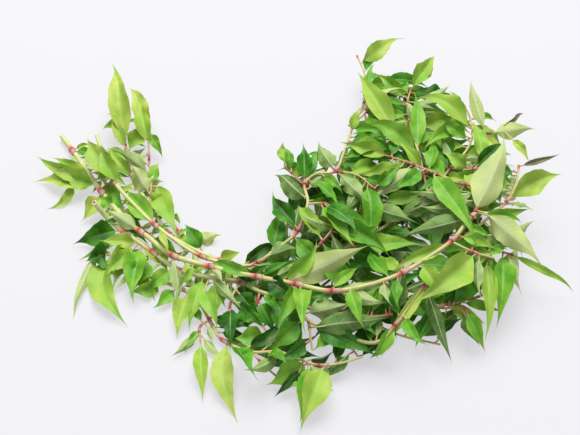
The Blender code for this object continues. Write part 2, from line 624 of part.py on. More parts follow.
def leaf_material(stem):
    """Fresh herb green with a waxy, slightly shiny skin."""
    material = bpy.data.materials.new(stem.name + "_green")
    material.use_nodes = True
    shader = material.node_tree.nodes["Principled BSDF"]
    shader.inputs["Base Color"].default_value = (*stem.color, 1.0)
    shader.inputs["Roughness"].default_value = 0.5
    shader.inputs["Metallic"].default_value = 0.0
    material.diffuse_color = (*stem.color, 1.0)
    return material


def centre_on_origin(objects):
    """Move every mesh so that the origin is the middle of the bunch's footprint."""
    corners = [v.co for obj in objects for v in obj.data.vertices]
    shift = Vector([-(min(c[i] for c in corners) + max(c[i] for c in corners)) / 2 for i in (0, 1)]
                   + [-min(c[2] for c in corners)])
    for obj in objects:
        for v in obj.data.vertices:
            v.co += shift


def main():
    for obj in list(bpy.data.objects):
        bpy.data.objects.remove(obj)
    solids = grow_bunch()
    centre_on_origin([fuse(stem, solids[stem.name]) for stem in BUNCH])


main()
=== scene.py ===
"""Looks of a laksa leaf bunch (Persicaria odorata): leaves, jointed stems and sheaths.

The bunch lies loose and untied on a pale floor. It is grown here by the same rule and
the same seeded draws as its solids, so that each finer stem and leaf stands where its
solid stands. Route points, leaf places and sizes are in millimetres, x to the right,
y away from the front, z up from the floor. Meshes are in metres.
"""

import logging
import random
from dataclasses import dataclass
from enum import Enum
from functools import partial
from math import cos, pi, radians, sin, tan
from typing import Any

import bpy
import numpy as np
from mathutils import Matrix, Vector
from mathutils.bvhtree import BVHTree


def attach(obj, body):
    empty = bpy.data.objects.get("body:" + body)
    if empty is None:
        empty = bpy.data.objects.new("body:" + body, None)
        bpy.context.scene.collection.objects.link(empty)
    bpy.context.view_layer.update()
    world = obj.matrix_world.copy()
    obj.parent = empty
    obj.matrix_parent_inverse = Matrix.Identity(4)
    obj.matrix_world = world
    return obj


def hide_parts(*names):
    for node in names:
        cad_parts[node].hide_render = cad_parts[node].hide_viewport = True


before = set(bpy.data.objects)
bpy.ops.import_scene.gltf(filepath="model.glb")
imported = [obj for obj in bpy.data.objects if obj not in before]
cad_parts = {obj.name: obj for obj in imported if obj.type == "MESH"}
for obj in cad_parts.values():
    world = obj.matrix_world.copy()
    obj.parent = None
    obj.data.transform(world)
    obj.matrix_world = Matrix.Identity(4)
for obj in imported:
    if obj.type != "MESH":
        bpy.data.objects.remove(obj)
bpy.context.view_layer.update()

Pair = tuple[float, float]
Point = tuple[float, float, float]
Range4 = tuple[float, float, float, float]
Stops = tuple[tuple[float, str], ...]
Solid = tuple[list[Vector], list[tuple[int, ...]]]

log = logging.getLogger("laksa_leaf")

MM = 0.001
SEED = 23
BODY = "root"

# Stems as the solids have them: round rods with a swollen joint at each leaf sheath.
STEM_SIDES = 6
SHOOT_SIDES = 4
JOINT_SWELL = 1.5
SHEATH_SWELL = 1.2
JOINT_HALF = 2.2
# As far off as a joint is taken to be on a shoot that has none.
NO_JOINT = 99

# Leaves as the solids have them: lance-shaped, folded along the midrib.
BLADE_THICKNESS = 1.1
PETIOLE_RADIUS = 0.7
BLADE_FOLD = 0.30
BLADE_BOW = 0.07
LEAF_FLOOR = 0.8
CLEARANCE = 0.35
MOST_STALK_BEND = radians(60)
SHORT_STALK = 4.0
BARE_STALK = 3.5
BLADE_PROFILE = ((0.18, 0.70), (0.44, 1.00), (0.76, 0.38))
NARROW_PROFILE = ((0.30, 0.95), (0.68, 0.60))
NARROW_WIDTH = 8
FILL_PROFILE = ((0.20, 0.68), (0.46, 1.00), (0.76, 0.40))
# The first points of a leaf belong to its stalk, which may pass in front of others.
STALK_POINTS = 8
# The part of a span between two route points that a leaf's stalk may grow from.
SPAN_PART = (0.05, 0.95)

# How steeply the thickest stem was cut, as rise over run. The others are cut straighter.
STEEP_CUT = 0.5

# The view of the photograph: how far above the table it looks from, and along which line.
VIEW_RISE = radians(52)
SIGHT = Vector((0.0, -cos(VIEW_RISE), sin(VIEW_RISE)))
VIEW_TARGET = (0.0, 0.0, 20.0)
VIEW_DISTANCE = 670.0
VIEW_LENS = 60.0
VIEW_SENSOR = 36.0

# The heap as the photo's view throws it onto the surface: leaves placed by rule keep
# their tips inside it.
HEAP_OUTLINE = (
    (-164, 85), (-146, 91), (-137, 155), (-113, 114), (-100, 46), (-85, 21), (-64, -3),
    (-43, -24), (-24, -18), (1, 8), (-10, 36), (-10, 66), (8, 77), (21, 73), (38, 85),
    (47, 114), (56, 168), (72, 186), (80, 152), (112, 148), (120, 126), (136, 122),
    (150, 110), (180, 100), (170, 73), (184, 51), (165, 30), (160, -10), (155, -29),
    (154, -55), (137, -72), (121, -82), (98, -88), (72, -88), (58, -96), (29, -102),
    (23, -120), (7, -128), (-15, -112), (-34, -106), (-43, -100), (-54, -104), (-61, -94),
    (-73, -94), (-78, -77), (-101, -61), (-121, -50), (-131, -40), (-148, -18), (-142, 9),
    (-159, 45), (-180, 60),
)
HEAP_TOP = 50

# Left of this the bunch thins to an arm of bare stems. Lengths of leaves placed by rule.
ARM_END = -40
ARM_LEAF = (22, 36)
HEAP_LEAF = (36, 54)

# Small leaves between the solids' own: the gap between two, and their length as a share.
EXTRA_LEAVES = ((9.0, 1.0), (5.0, 0.66))
# Where they start on a stem and on a side shoot, as a share of its length.
STEM_START = 0.04
SHOOT_START = 0.1

# Living tissue's refraction, how near to 1 counts as an edge, and where two faces join.
TISSUE_IOR = 1.42
AT_END = 0.999
SEAM = 0.002 * MM

# The kinds of node that are used most.
MATH, VECTOR, MIX = "ShaderNodeMath", "ShaderNodeVectorMath", "ShaderNodeMix"
RAMP, RANGE, NOISE = "ShaderNodeValToRGB", "ShaderNodeMapRange", "ShaderNodeTexNoise"
FIELD, STORE = "GeometryNodeInputNamedAttribute", "GeometryNodeStoreNamedAttribute"
CIRCLE, SWEEP = "GeometryNodeCurvePrimitiveCircle", "GeometryNodeCurveToMesh"
MOVE, JOIN, MERGE = ("GeometryNodeSetPosition", "GeometryNodeJoinGeometry",
                     "GeometryNodeMergeByDistance")
SHADE, REAL, DRESS = ("GeometryNodeSetShadeSmooth", "GeometryNodeRealizeInstances",
                      "GeometryNodeSetMaterial")


class Tone(Enum):
    """How old and how shaded a leaf is, as its place on the skin's run of greens."""

    DEEP = 0.16
    FRESH = 0.46
    BRIGHT = 0.72
    YELLOW = 0.80
    DRY = 1.0


@dataclass(frozen=True)
class Shoot:
    """A stem or side shoot: its route, its radius at both ends and where leaves fill it."""

    route: tuple[Point, ...]
    radius: float
    tip_radius: float
    fill: Pair = (0.1, 1.0)
    joints: tuple[int, ...] = ()


@dataclass(frozen=True)
class Leaf:
    """A leaf seen in the photo: blade base, tip, full width, whether it lies face down and
    how far it bends to its right, as a share of its length."""

    base: Point
    tip: Point
    width: float
    face_down: bool = False
    bend: float = 0.0
    tone: Tone | None = None
    hook: float = 0.0


@dataclass(frozen=True)
class StemPlan:
    """One cut stem with everything that grows on it."""

    name: str
    shoots: tuple[Shoot, ...]
    leaves: tuple[Leaf, ...]
    fill_gap: float


# A leaf that lies face down.
UNDER = True

STEM_FRONT = StemPlan(
    "stem_front",
    shoots=(
        Shoot(((-174, 91, 4), (-155, 62, 6), (-137, 34, 8), (-116, 6, 10), (-97, -12, 12),
               (-80, -28, 14), (-50, -41, 18), (-22, -51, 22), (3, -60, 27), (27, -69, 32),
               (51, -68, 38), (71, -62, 42), (88, -52, 45), (104, -40, 46), (114, -27, 46),
               (122, -17, 46)), 2.3, 1.5, fill=(0.62, 0.98), joints=(2, 5, 7, 9, 11, 13)),
        Shoot(((122, -17, 46), (127, -4, 47), (124, 5, 47), (113, 10, 46), (101, 19, 44),
               (85, 30, 42), (69, 38, 41)), 1.2, 0.8, joints=(1, 4)),
        Shoot(((104, -40, 46), (118, -46, 43), (132, -49, 40)), 1.1, 0.8, joints=(1,)),
    ),
    leaves=(
        Leaf((-141, 37, 10), (-193, 67, 10), 10, tone=Tone.BRIGHT),
        Leaf((-144, 40, 9), (-192, 46, 6), 15, tone=Tone.YELLOW),
        Leaf((-159, 38, 8), (-178, 19, 2), 7, bend=-0.2, tone=Tone.BRIGHT),
        Leaf((-100, -0, 15), (-131, 13, 15), 10, UNDER), Leaf((-18, -54, 27), (5, -68, 22), 13),
        Leaf((-22, -49, 24), (-54, -31, 15), 8),
        Leaf((-3, -58, 32), (54, -39, 44), 17, UNDER, tone=Tone.YELLOW),
        Leaf((28, -74, 34), (64, -80, 32), 9, UNDER), Leaf((28, -71, 38), (67, -67, 38), 6, UNDER),
        Leaf((98, 16, 46), (127, -47, 44), 14, tone=Tone.FRESH),
        Leaf((105, -9, 46), (67, -33, 42), 12, UNDER, tone=Tone.DEEP),
        Leaf((69, 36, 42), (33, 54, 40), 10, tone=Tone.BRIGHT),
        Leaf((77, 27, 43), (43, 22, 38), 9, tone=Tone.BRIGHT),
        Leaf((127, -18, 47), (152, 47, 54), 20, UNDER, tone=Tone.YELLOW),
        Leaf((131, -19, 46), (168, -52, 34), 16, UNDER, tone=Tone.BRIGHT),
        Leaf((103, -42, 47), (61, -58, 40), 8, tone=Tone.BRIGHT),
        Leaf((-137, 28, 7), (-148, 8, 4), 13), Leaf((38, -72, 38), (45, -97, 30), 9),
        Leaf((83, -56, 46), (98, -78, 36), 11),
        Leaf((-150, 44, 10), (-177, 67, 10), 9, tone=Tone.BRIGHT),
        Leaf((-118, 21, 7), (-136, 29, 7), 10, tone=Tone.FRESH),
        Leaf((130, -17, 46), (155, -18, 42), 8),
        Leaf((123, -39, 46), (74, -82, 34), 18, tone=Tone.BRIGHT),
        Leaf((-140, 39, 7), (-166, 53, 3), 13, tone=Tone.BRIGHT),
    ),
    fill_gap=26,
)

STEM_BACK = StemPlan(
    "stem_back",
    shoots=(
        Shoot(((-146, 86, 10), (-137, 62, 12), (-128, 39, 14), (-109, 13, 17), (-89, -9, 18),
               (-61, -29, 15), (-34, -37, 15), (-22, -36, 17), (-8, -29, 24), (5, -21, 32),
               (12, -2, 38), (10, 13, 40), (18, 22, 41), (31, 25, 40), (38, 45, 37), (46, 75, 32),
               (56, 106, 27), (58, 136, 25), (53, 158, 25)), 1.8, 0.8,
              fill=(0.42, 0.99), joints=(2, 5, 7, 9, 11, 13, 15, 18)),
        Shoot(((12, -2, 38), (24, -4, 40), (30, -11, 40), (27, -25, 38), (14, -41, 34)), 0.9, 0.7),
        Shoot(((10, 13, 40), (4, 22, 37), (-4, 36, 34)), 0.9, 0.7),
        Shoot(((43, 75, 33), (57, 92, 30), (66, 112, 28), (72, 132, 26)), 1.0, 0.7, joints=(1,)),
        Shoot(((31, 25, 40), (46, 20, 42), (58, 8, 41)), 1.0, 0.7),
    ),
    leaves=(
        Leaf((-134, 36, 15), (-153, 78, 20), 16, tone=Tone.YELLOW),
        Leaf((32, 23, 41), (55, -6, 40), 11, UNDER),
        Leaf((4, 28, 36), (-2, 47, 42), 6, tone=Tone.FRESH), Leaf((9, 13, 40), (10, 49, 46), 10),
        Leaf((14, 17, 40), (18, 41, 46), 6), Leaf((31, 26, 40), (18, 51, 42), 12, UNDER),
        Leaf((11, 1, 38), (-10, 33, 32), 15, UNDER, tone=Tone.DEEP),
        Leaf((5, -20, 34), (-15, 12, 32), 12), Leaf((38, 68, 33), (50, 85, 42), 7),
        Leaf((52, 149, 27), (90, 177, 32), 13, tone=Tone.BRIGHT),
        Leaf((56, 106, 28), (63, 141, 36), 6), Leaf((-17, -36, 22), (5, -31, 30), 13, UNDER),
        Leaf((-123, 34, 16), (-140, 68, 20), 12, tone=Tone.BRIGHT),
        Leaf((-9, 33, 30), (-6, 52, 38), 8, tone=Tone.BRIGHT, hook=0.55),
        Leaf((-88, 1, 11), (-119, 36, 9), 14, tone=Tone.FRESH),
        Leaf((-85, -3, 20), (-81, -29, 19), 5, tone=Tone.YELLOW),
        Leaf((74, 6, 36), (77, 32, 40), 8),
    ),
    fill_gap=17,
)

STEM_THICK = StemPlan(
    "stem_thick",
    shoots=(
        Shoot(((-137, 14, 18), (-128, 8, 7), (-116, -3, 6), (-104, -12, 6), (-89, -25, 6),
               (-74, -36, 7), (-62, -41, 9), (-33, -49, 12), (-20, -58, 15), (-4, -66, 18),
               (5, -73, 20), (12, -84, 20), (32, -92, 18), (53, -100, 20), (66, -91, 26),
               (79, -75, 33), (89, -64, 38)), 2.3, 1.1,
              fill=(0.40, 0.99), joints=(2, 5, 7, 10, 12, 14)),
        Shoot(((32, -92, 18), (38, -98, 14), (44, -106, 10)), 1.0, 0.7),
        Shoot(((-33, -49, 12), (-38, -60, 13), (-40, -72, 12)), 1.0, 0.7),
        Shoot(((-20, -58, 15), (-22, -72, 10), (-14, -86, 6)), 1.0, 0.7),
        Shoot(((5, -73, 20), (30, -78, 22), (50, -84, 25), (65, -84, 28)), 1.2, 0.8, joints=(2,)),
        Shoot(((12, -84, 20), (13, -96, 20), (14, -104, 18)), 0.9, 0.7),
    ),
    leaves=(
        Leaf((-117, 2, 8), (-155, -10, 3), 17, tone=Tone.DEEP),
        Leaf((-118, -6, 6), (-147, -25, 2), 6),
        Leaf((-113, -14, 7), (-123, -42, 3), 11, tone=Tone.BRIGHT),
        Leaf((-40, -66, 15), (-38, -99, 6), 10),
        Leaf((-5, -89, 17), (-37, -91, 8), 14, tone=Tone.FRESH),
        Leaf((-55, -47, 13), (-29, -71, 12), 7, UNDER), Leaf((-59, -44, 10), (-69, -86, 5), 11),
        Leaf((12, -85, 22), (59, -105, 12), 12, tone=Tone.DEEP),
        Leaf((8, -79, 24), (40, -74, 26), 15, UNDER, tone=Tone.FRESH),
        Leaf((86, -68, 38), (101, -107, 10), 8, UNDER), Leaf((67, -90, 28), (52, -108, 12), 8),
        Leaf((-109, -18, 7), (-134, -9, 4), 11),
        Leaf((-98, -28, 6), (-110, -55, 2), 14, tone=Tone.FRESH),
        Leaf((-82, -36, 8), (-97, -51, 4), 11), Leaf((-49, -49, 12), (-50, -76, 6), 12),
        Leaf((-36, -55, 14), (-18, -77, 10), 13), Leaf((-22, -64, 16), (-9, -89, 12), 13),
        Leaf((6, -85, 20), (-14, -102, 12), 12), Leaf((32, -89, 18), (14, -101, 10), 10),
        Leaf((-57, -54, 10), (-44, -82, 8), 10), Leaf((-33, -65, 12), (-16, -81, 10), 12),
        Leaf((10, -68, 22), (37, -74, 22), 9),
        Leaf((-109, -17, 5), (-130, -40, 3), 10, tone=Tone.BRIGHT),
        Leaf((89, -57, 38), (54, -101, 10), 7, tone=Tone.YELLOW),
        Leaf((-104, -17, 5), (-106, -59, 2), 15, tone=Tone.FRESH),
    ),
    fill_gap=16,
)

STEM_MIDDLE = StemPlan(
    "stem_middle",
    shoots=(
        Shoot(((-124, 78, 4), (-118, 54, 5), (-101, 22, 6), (-84, -4, 6), (-60, -22, 8),
               (-30, -36, 9), (0, -35, 12), (35, -26, 18), (70, -8, 26), (95, 12, 33),
               (112, 30, 37), (125, 46, 39), (131, 62, 40), (130, 84, 38), (124, 100, 37)),
              1.7, 0.8, fill=(0.40, 0.99), joints=(1, 3, 8, 10, 12)),
        Shoot(((-118, 54, 5), (-121, 66, 9), (-126, 90, 16), (-128, 109, 21)), 0.9, 0.7,
              fill=(0.5, 1.0), joints=(2,)),
        Shoot(((-101, 22, 6), (-101, 40, 9), (-104, 60, 12), (-106, 86, 18)), 0.9, 0.7,
              fill=(0.5, 1.0), joints=(2,)),
        Shoot(((95, 12, 33), (92, 40, 36), (88, 70, 34), (88, 100, 30), (92, 118, 28)), 1.1, 0.7,
              joints=(1, 3)),
        Shoot(((131, 62, 40), (145, 62, 39), (157, 68, 38)), 0.9, 0.7),
        Shoot(((112, 30, 37), (128, 26, 41), (140, 34, 42)), 0.9, 0.7),
        Shoot(((70, -8, 26), (60, 10, 30), (50, 32, 31)), 1.0, 0.7),
        Shoot(((88, 70, 34), (104, 78, 33), (116, 86, 33)), 0.9, 0.7),
        Shoot(((35, -26, 18), (52, -18, 13), (62, 4, 9)), 1.0, 0.7),
    ),
    leaves=(
        Leaf((-120, 46, 10), (-137, 72, 15), 8, tone=Tone.BRIGHT),
        Leaf((-98, 30, 9), (-116, 56, 15), 16, UNDER, tone=Tone.YELLOW),
        Leaf((-97, 38, 8), (-75, -12, 6), 15, tone=Tone.BRIGHT),
        Leaf((-119, 76, 12), (-135, 150, 32), 15, tone=Tone.YELLOW),
        Leaf((-106, 91, 14), (-123, 130, 24), 12, tone=Tone.YELLOW),
        Leaf((-105, 72, 14), (-115, 114, 22), 11, tone=Tone.BRIGHT),
        Leaf((-106, 86, 18), (-94, 68, 6), 7),
        Leaf((-120, 72, 10), (-135, 107, 16), 8, tone=Tone.YELLOW),
        Leaf((-105, 17, 10), (-89, 29, 12), 12, tone=Tone.BRIGHT),
        Leaf((-119, 70, 10), (-106, 95, 14), 12, tone=Tone.BRIGHT),
        Leaf((85, 123, 30), (115, 154, 34), 10, tone=Tone.BRIGHT),
        Leaf((102, 100, 30), (124, 122, 30), 9, UNDER),
        Leaf((86, 47, 38), (94, 111, 36), 11, tone=Tone.FRESH),
        Leaf((97, 72, 34), (121, 78, 40), 13), Leaf((126, 74, 38), (90, 47, 40), 11),
        Leaf((140, 55, 41), (130, 106, 50), 9, UNDER, tone=Tone.YELLOW),
        Leaf((144, 62, 38), (181, 71, 36), 12, UNDER, tone=Tone.YELLOW),
        Leaf((128, 90, 38), (118, 103, 42), 4), Leaf((128, 86, 38), (113, 74, 42), 4),
        Leaf((131, -1, 43), (151, 50, 47), 10, tone=Tone.DEEP),
        Leaf((156, 49, 40), (171, 81, 46), 4, tone=Tone.DRY),
        Leaf((125, 28, 42), (105, 39, 46), 10), Leaf((125, 54, 40), (106, 72, 44), 9),
        Leaf((84, 126, 30), (110, 147, 34), 13), Leaf((-102, 38, 8), (-98, 58, 12), 8),
        Leaf((-116, 40, 9), (-91, 41, 12), 15, UNDER, tone=Tone.YELLOW),
        Leaf((159, 54, 40), (168, 36, 38), 6),
    ),
    fill_gap=17,
)

STEM_INNER = StemPlan(
    "stem_inner",
    shoots=(
        Shoot(((-112, 64, 1.2), (-92, 26, 1.2), (-76, -3, 1.2), (-56, -20, 1.4), (-30, -30, 2),
               (-2, -24, 5), (22, 6, 12), (42, 28, 16), (60, 55, 18), (74, 85, 18), (84, 115, 17),
               (84, 140, 16)), 1.6, 0.8, fill=(0.36, 0.99), joints=(1, 3)),
        Shoot(((22, 6, 12), (40, 0, 20), (54, 2, 31)), 1.0, 0.7),
        Shoot(((60, 55, 18), (70, 64, 25), (77, 69, 31)), 1.0, 0.7),
        Shoot(((-2, -24, 5), (-2, 2, 8), (0, 28, 11)), 1.0, 0.7),
        Shoot(((74, 85, 18), (66, 104, 8), (62, 118, 0.7), (60, 132, 0.7)), 1.0, 0.8),
        Shoot(((42, 28, 16), (70, 30, 14), (95, 44, 16), (115, 62, 20)), 1.1, 0.7, joints=(1,)),
    ),
    leaves=(
        Leaf((-68, -11, 6), (-48, -2, 7), 10, UNDER),
        Leaf((56, 3, 34), (88, -21, 40), 12, UNDER, tone=Tone.DEEP),
        Leaf((81, 71, 33), (48, 139, 34), 15, tone=Tone.BRIGHT),
        Leaf((5, -20, 28), (24, -18, 32), 9, UNDER), Leaf((-98, 3, 6), (-80, 13, 9), 11),
        Leaf((-64, -20, 5), (-75, 6, 9), 12), Leaf((-98, -8, 5), (-74, -19, 6), 8),
        Leaf((-34, -28, 6), (-12, -17, 8), 10), Leaf((-54, -28, 6), (-34, -21, 8), 8),
    ),
    fill_gap=15,
)

STEM_OUTER = StemPlan(
    "stem_outer",
    shoots=(
        Shoot(((-134, -12, 1.3), (-116, -25, 1.3), (-97, -37, 1.6), (-75, -48, 4), (-63, -57, 6),
               (-53, -74, 5), (-44, -89, 5), (-25, -100, 9), (-8, -103, 14), (5, -108, 14),
               (18, -112, 13), (32, -110, 12), (46, -106, 13)), 1.6, 0.8,
              fill=(0.25, 0.99), joints=(1, 3, 5, 6, 8, 10)),
        Shoot(((-53, -74, 5), (-59, -80, 6), (-58, -90, 5)), 0.9, 0.7),
        Shoot(((-97, -37, 1.6), (-106, -36, 4), (-116, -30, 5)), 0.9, 0.7),
        Shoot(((-25, -100, 9), (-14, -112, 8), (-4, -120, 6)), 0.9, 0.7),
    ),
    leaves=(
        Leaf((-135, -20, 5), (-147, -77, 2), 7, UNDER, tone=Tone.BRIGHT),
        Leaf((-131, -24, 5), (-100, -72, 3), 18, bend=0.2, tone=Tone.BRIGHT),
        Leaf((-76, -48, 7), (-92, -66, 3), 9, tone=Tone.FRESH),
        Leaf((-70, -52, 8), (-75, -89, 3), 12, tone=Tone.YELLOW),
        Leaf((-60, -78, 6), (-69, -98, 3), 5), Leaf((-57, -84, 7), (-76, -101, 3), 6, UNDER),
        Leaf((-57, -92, 6), (-54, -133, 2), 9, tone=Tone.BRIGHT),
        Leaf((-43, -92, 8), (-28, -147, 2), 14, bend=0.12, tone=Tone.YELLOW),
        Leaf((10, -118, 13), (-16, -123, 4), 18, tone=Tone.FRESH),
        Leaf((11, -112, 14), (7, -149, 3), 11, tone=Tone.FRESH),
        Leaf((21, -108, 13), (4, -151, 2), 17, tone=Tone.BRIGHT),
        Leaf((13, -103, 16), (27, -129, 6), 14, UNDER),
        Leaf((-118, -8, 4), (-141, -24, 3), 17, tone=Tone.DEEP),
        Leaf((6, -116, 12), (-11, -130, 3), 6), Leaf((-88, -45, 5), (-111, -51, 3), 12),
        Leaf((14, -98, 14), (30, -103, 14), 11), Leaf((-105, -30, 3), (-89, -56, 2), 8),
    ),
    fill_gap=18,
)

STEM_RIGHT = StemPlan(
    "stem_right",
    shoots=(
        Shoot(((-155, 80, 1.5), (-133, 42, 1.5), (-114, 14, 1.5), (-95, -6, 1.5), (-78, -19, 1.5),
               (-55, -31, 1.5), (-20, -44, 2), (20, -48, 4), (60, -44, 8), (92, -32, 16),
               (118, -20, 25), (134, -10, 32), (147, 0, 37), (155, 14, 38), (160, 32, 38)),
              1.9, 0.9, fill=(0.42, 0.99), joints=(1, 4, 10, 12)),
        Shoot(((60, -44, 8), (75, -60, 13), (95, -72, 18), (113, -77, 24)), 1.1, 0.7, joints=(2,)),
        Shoot(((118, -20, 25), (132, -32, 29), (147, -40, 31)), 1.1, 0.7, joints=(1,)),
        Shoot(((95, -72, 18), (118, -66, 18), (138, -58, 18)), 1.0, 0.7),
        Shoot(((20, -48, 4), (42, -66, 3), (70, -82, 0.8), (98, -90, 0.7)), 1.1, 0.8),
        Shoot(((92, -32, 16), (112, -6, 11), (124, 20, 4), (128, 36, 0.7), (132, 52, 0.7)),
              1.1, 0.8),
        Shoot(((20, -48, 4), (42, -30, 7), (66, -16, 10), (88, 0, 12)), 1.1, 0.7, joints=(1,)),
    ),
    leaves=(
        Leaf((147, 3, 39), (191, 22, 38), 15, bend=-0.12, tone=Tone.YELLOW),
        Leaf((160, 32, 38), (190, 39, 42), 4, tone=Tone.DRY),
        Leaf((148, -39, 32), (193, -52, 10), 5, tone=Tone.BRIGHT),
        Leaf((138, -41, 34), (134, -88, 14), 13, tone=Tone.FRESH),
        Leaf((115, -77, 28), (126, -100, 6), 9), Leaf((109, -79, 26), (122, -98, 8), 10, UNDER),
        Leaf((141, -42, 32), (150, -65, 22), 8, UNDER), Leaf((91, -73, 24), (78, -99, 10), 9),
        Leaf((99, -58, 28), (126, -85, 18), 8, tone=Tone.BRIGHT),
        Leaf((72, -62, 15), (97, -80, 12), 12), Leaf((96, -68, 20), (117, -58, 25), 13),
        Leaf((129, -46, 29), (126, -100, 8), 10, tone=Tone.BRIGHT),
        Leaf((-124, 22, 3), (-98, -13, 5), 13), Leaf((-99, -2, 3), (-72, -27, 5), 12),
        Leaf((-139, 48, 3), (-116, 17, 3), 14, tone=Tone.FRESH),
        Leaf((-104, -16, 4), (-84, -39, 4), 16, tone=Tone.BRIGHT),
    ),
    fill_gap=15,
)

BUNCH = (STEM_FRONT, STEM_BACK, STEM_THICK, STEM_MIDDLE, STEM_INNER, STEM_OUTER, STEM_RIGHT)


@dataclass(frozen=True)
class BladeForm:
    """Where one leaf is and how it bends: what its solid and its finer blade share."""

    root: Vector
    base: Vector
    tip: Vector
    width: float
    normal: Vector
    bow: float
    bend: float
    profile: tuple[tuple[float, float], ...]
    tone: Tone | None = None
    hook: float = 0.0

    def axes(self) -> tuple[float, Vector, Vector, Vector]:
        """The blade's length and its directions.

        Returns:
            Length in mm, then unit vectors along the blade, out of its upper face and across.
        """
        length = (self.tip - self.base).length
        along = (self.tip - self.base) / length
        up = (self.normal - along * self.normal.dot(along)).normalized()
        return length, along, up, along.cross(up)

    def solid(self, extra: float = 0.0) -> Solid:
        """The leaf's plain solid, to test it against others.

        Args:
            extra: How much thicker than real it is made, in mm.

        Returns:
            Vertices and faces in millimetres.
        """
        length, along, up, across = self.axes()
        thick = BLADE_THICKNESS / 2 + extra
        stalk = (self.base - self.root).normalized()
        stalk_across = stalk.cross(up).normalized()
        stalk_up = stalk_across.cross(stalk)
        joint_across = (across + stalk_across).normalized()
        thin = PETIOLE_RADIUS + extra
        stations = [(self.root, thin, 0.0, stalk_across, stalk_up)]
        if (self.base - self.root).length > SHORT_STALK:
            stations.append((self.base, thin, 0.0, joint_across, up))
        for t, share in self.profile:
            arc = 4 * t * (1 - t) * length
            centre = self.base + along * length * t + up * self.bow * arc + across * self.bend * arc
            half = max(self.width / 2 * share, PETIOLE_RADIUS) + extra
            stations.append((centre, half, BLADE_FOLD * half, across, up))
        verts = []
        for centre, half, fold, side, rise in stations:
            verts += [centre - side * half + rise * fold, centre + rise * thick,
                      centre + side * half + rise * fold, centre - rise * thick]
        point = len(verts)
        verts.append(self.tip + along * extra)
        faces = [(0, 3, 2), (0, 2, 1)]
        for i in range(len(stations) - 1):
            a, b = 4 * i, 4 * i + 4
            faces += [(a, a + 1, b + 1), (a, b + 1, b), (a + 1, a + 2, b + 1),
                      (a + 2, b + 2, b + 1), (a + 3, a, b + 3), (a, b, b + 3),
                      (a + 2, a + 3, b + 3), (a + 2, b + 3, b + 2)]
        e = point - 4
        faces += [(e, e + 1, point), (e + 1, e + 2, point), (e + 2, e + 3, point),
                  (e + 3, e, point)]
        for v in verts:
            v.z = max(v.z, LEAF_FLOOR - min(extra, LEAF_FLOOR))
        return verts, faces


def rod_rings(shoot: Shoot) -> list[tuple[Vector, Vector, float]]:
    """The (centre, direction, radius) of each ring of a stem, with its swollen joints."""
    knots = [Vector(p) for p in shoot.route]
    last = len(knots) - 1
    rings = []
    for i, knot in enumerate(knots):
        before = knots[max(i - 1, 0)]
        after = knots[min(i + 1, last)]
        along = (after - before).normalized()
        radius = shoot.radius + (shoot.tip_radius - shoot.radius) * i / last
        if i in shoot.joints and 0 < i < last:
            rings.append((knot - along * JOINT_HALF, along, radius))
            rings.append((knot, along, radius * JOINT_SWELL))
            rings.append((knot + along * JOINT_HALF, along, radius * SHEATH_SWELL))
        else:
            rings.append((knot, along, radius))
    return rings


def rod_solid(rings: list[tuple[Vector, Vector, float]], sides: int, extra: float) -> Solid:
    """A stem's plain solid, to test leaves against it.

    Args:
        rings: Centre, direction and radius of each ring.
        sides: Number of sides.
        extra: How much thicker than real it is made, in mm.

    Returns:
        Vertices and faces in millimetres.
    """
    verts: list[Vector] = []
    faces: list[tuple[int, ...]] = []
    for centre, along, radius in rings:
        across = along.cross(Vector((0, 0, 1))).normalized()
        up = across.cross(along)
        for k in range(sides):
            turn = 2 * pi * (k + (0.5 if sides == SHOOT_SIDES else 0.0)) / sides
            verts.append(centre + (radius + extra) * (across * cos(turn) + up * sin(turn)))
    for i in range(len(rings) - 1):
        for k in range(sides):
            a, b = i * sides + k, i * sides + (k + 1) % sides
            faces += [(a, a + sides, b + sides), (a, b + sides, b)]
    for k in range(1, sides - 1):
        faces.append((0, k, k + 1))
        top = (len(rings) - 1) * sides
        faces.append((top, top + k + 1, top + k))
    return verts, faces


def inside_heap(x: float, y: float) -> bool:
    """True when a point in plan lies inside HEAP_OUTLINE."""
    inside = False
    for (ax, ay), (bx, by) in zip(HEAP_OUTLINE, HEAP_OUTLINE[1:] + HEAP_OUTLINE[:1]):
        if (ay > y) != (by > y) and x < ax + (bx - ax) * (y - ay) / (by - ay):
            inside = not inside
    return inside


class Space:
    """The solids already placed, so that a new one can be tested against them."""

    def __init__(self) -> None:
        """Start with nothing placed."""
        self.taken: list[tuple[str, list[Pair], BVHTree]] = []
        self.shown: list[BVHTree] = []

    @staticmethod
    def _box(verts: list[Vector]) -> list[Pair]:
        """Lowest and highest value on each axis."""
        return [(min(v[i] for v in verts), max(v[i] for v in verts)) for i in range(3)]

    def add(self, owner: str, solid: Solid) -> None:
        """Keep a placed solid under its owner's name."""
        self.taken.append((owner, self._box(solid[0]), BVHTree.FromPolygons(*solid)))

    def hits(self, owner: str, solid: Solid) -> tuple[int, int]:
        """Count what a new solid would cross.

        Args:
            owner: Name of the stem that the solid grows on.
            solid: Its vertices and faces.

        Returns:
            How many solids of other stems, and of its own stem, it crosses.
        """
        box, tree = self._box(solid[0]), None
        others = own = 0
        for other, near, other_tree in self.taken:
            if any(box[i][0] > near[i][1] or box[i][1] < near[i][0] for i in range(3)):
                continue
            tree = tree or BVHTree.FromPolygons(*solid)
            if tree.overlap(other_tree):
                if other == owner:
                    own += 1
                else:
                    others += 1
        return others, own

    def show(self, solid: Solid) -> None:
        """Note a solid that the photo shows in front of the heap."""
        self.shown.append(BVHTree.FromPolygons(*solid))

    def hides(self, points: list[Vector]) -> bool:
        """True if one of the points stands between the viewer and a solid that is shown."""
        return any(tree.ray_cast(p, -SIGHT)[0] for p in points for tree in self.shown)


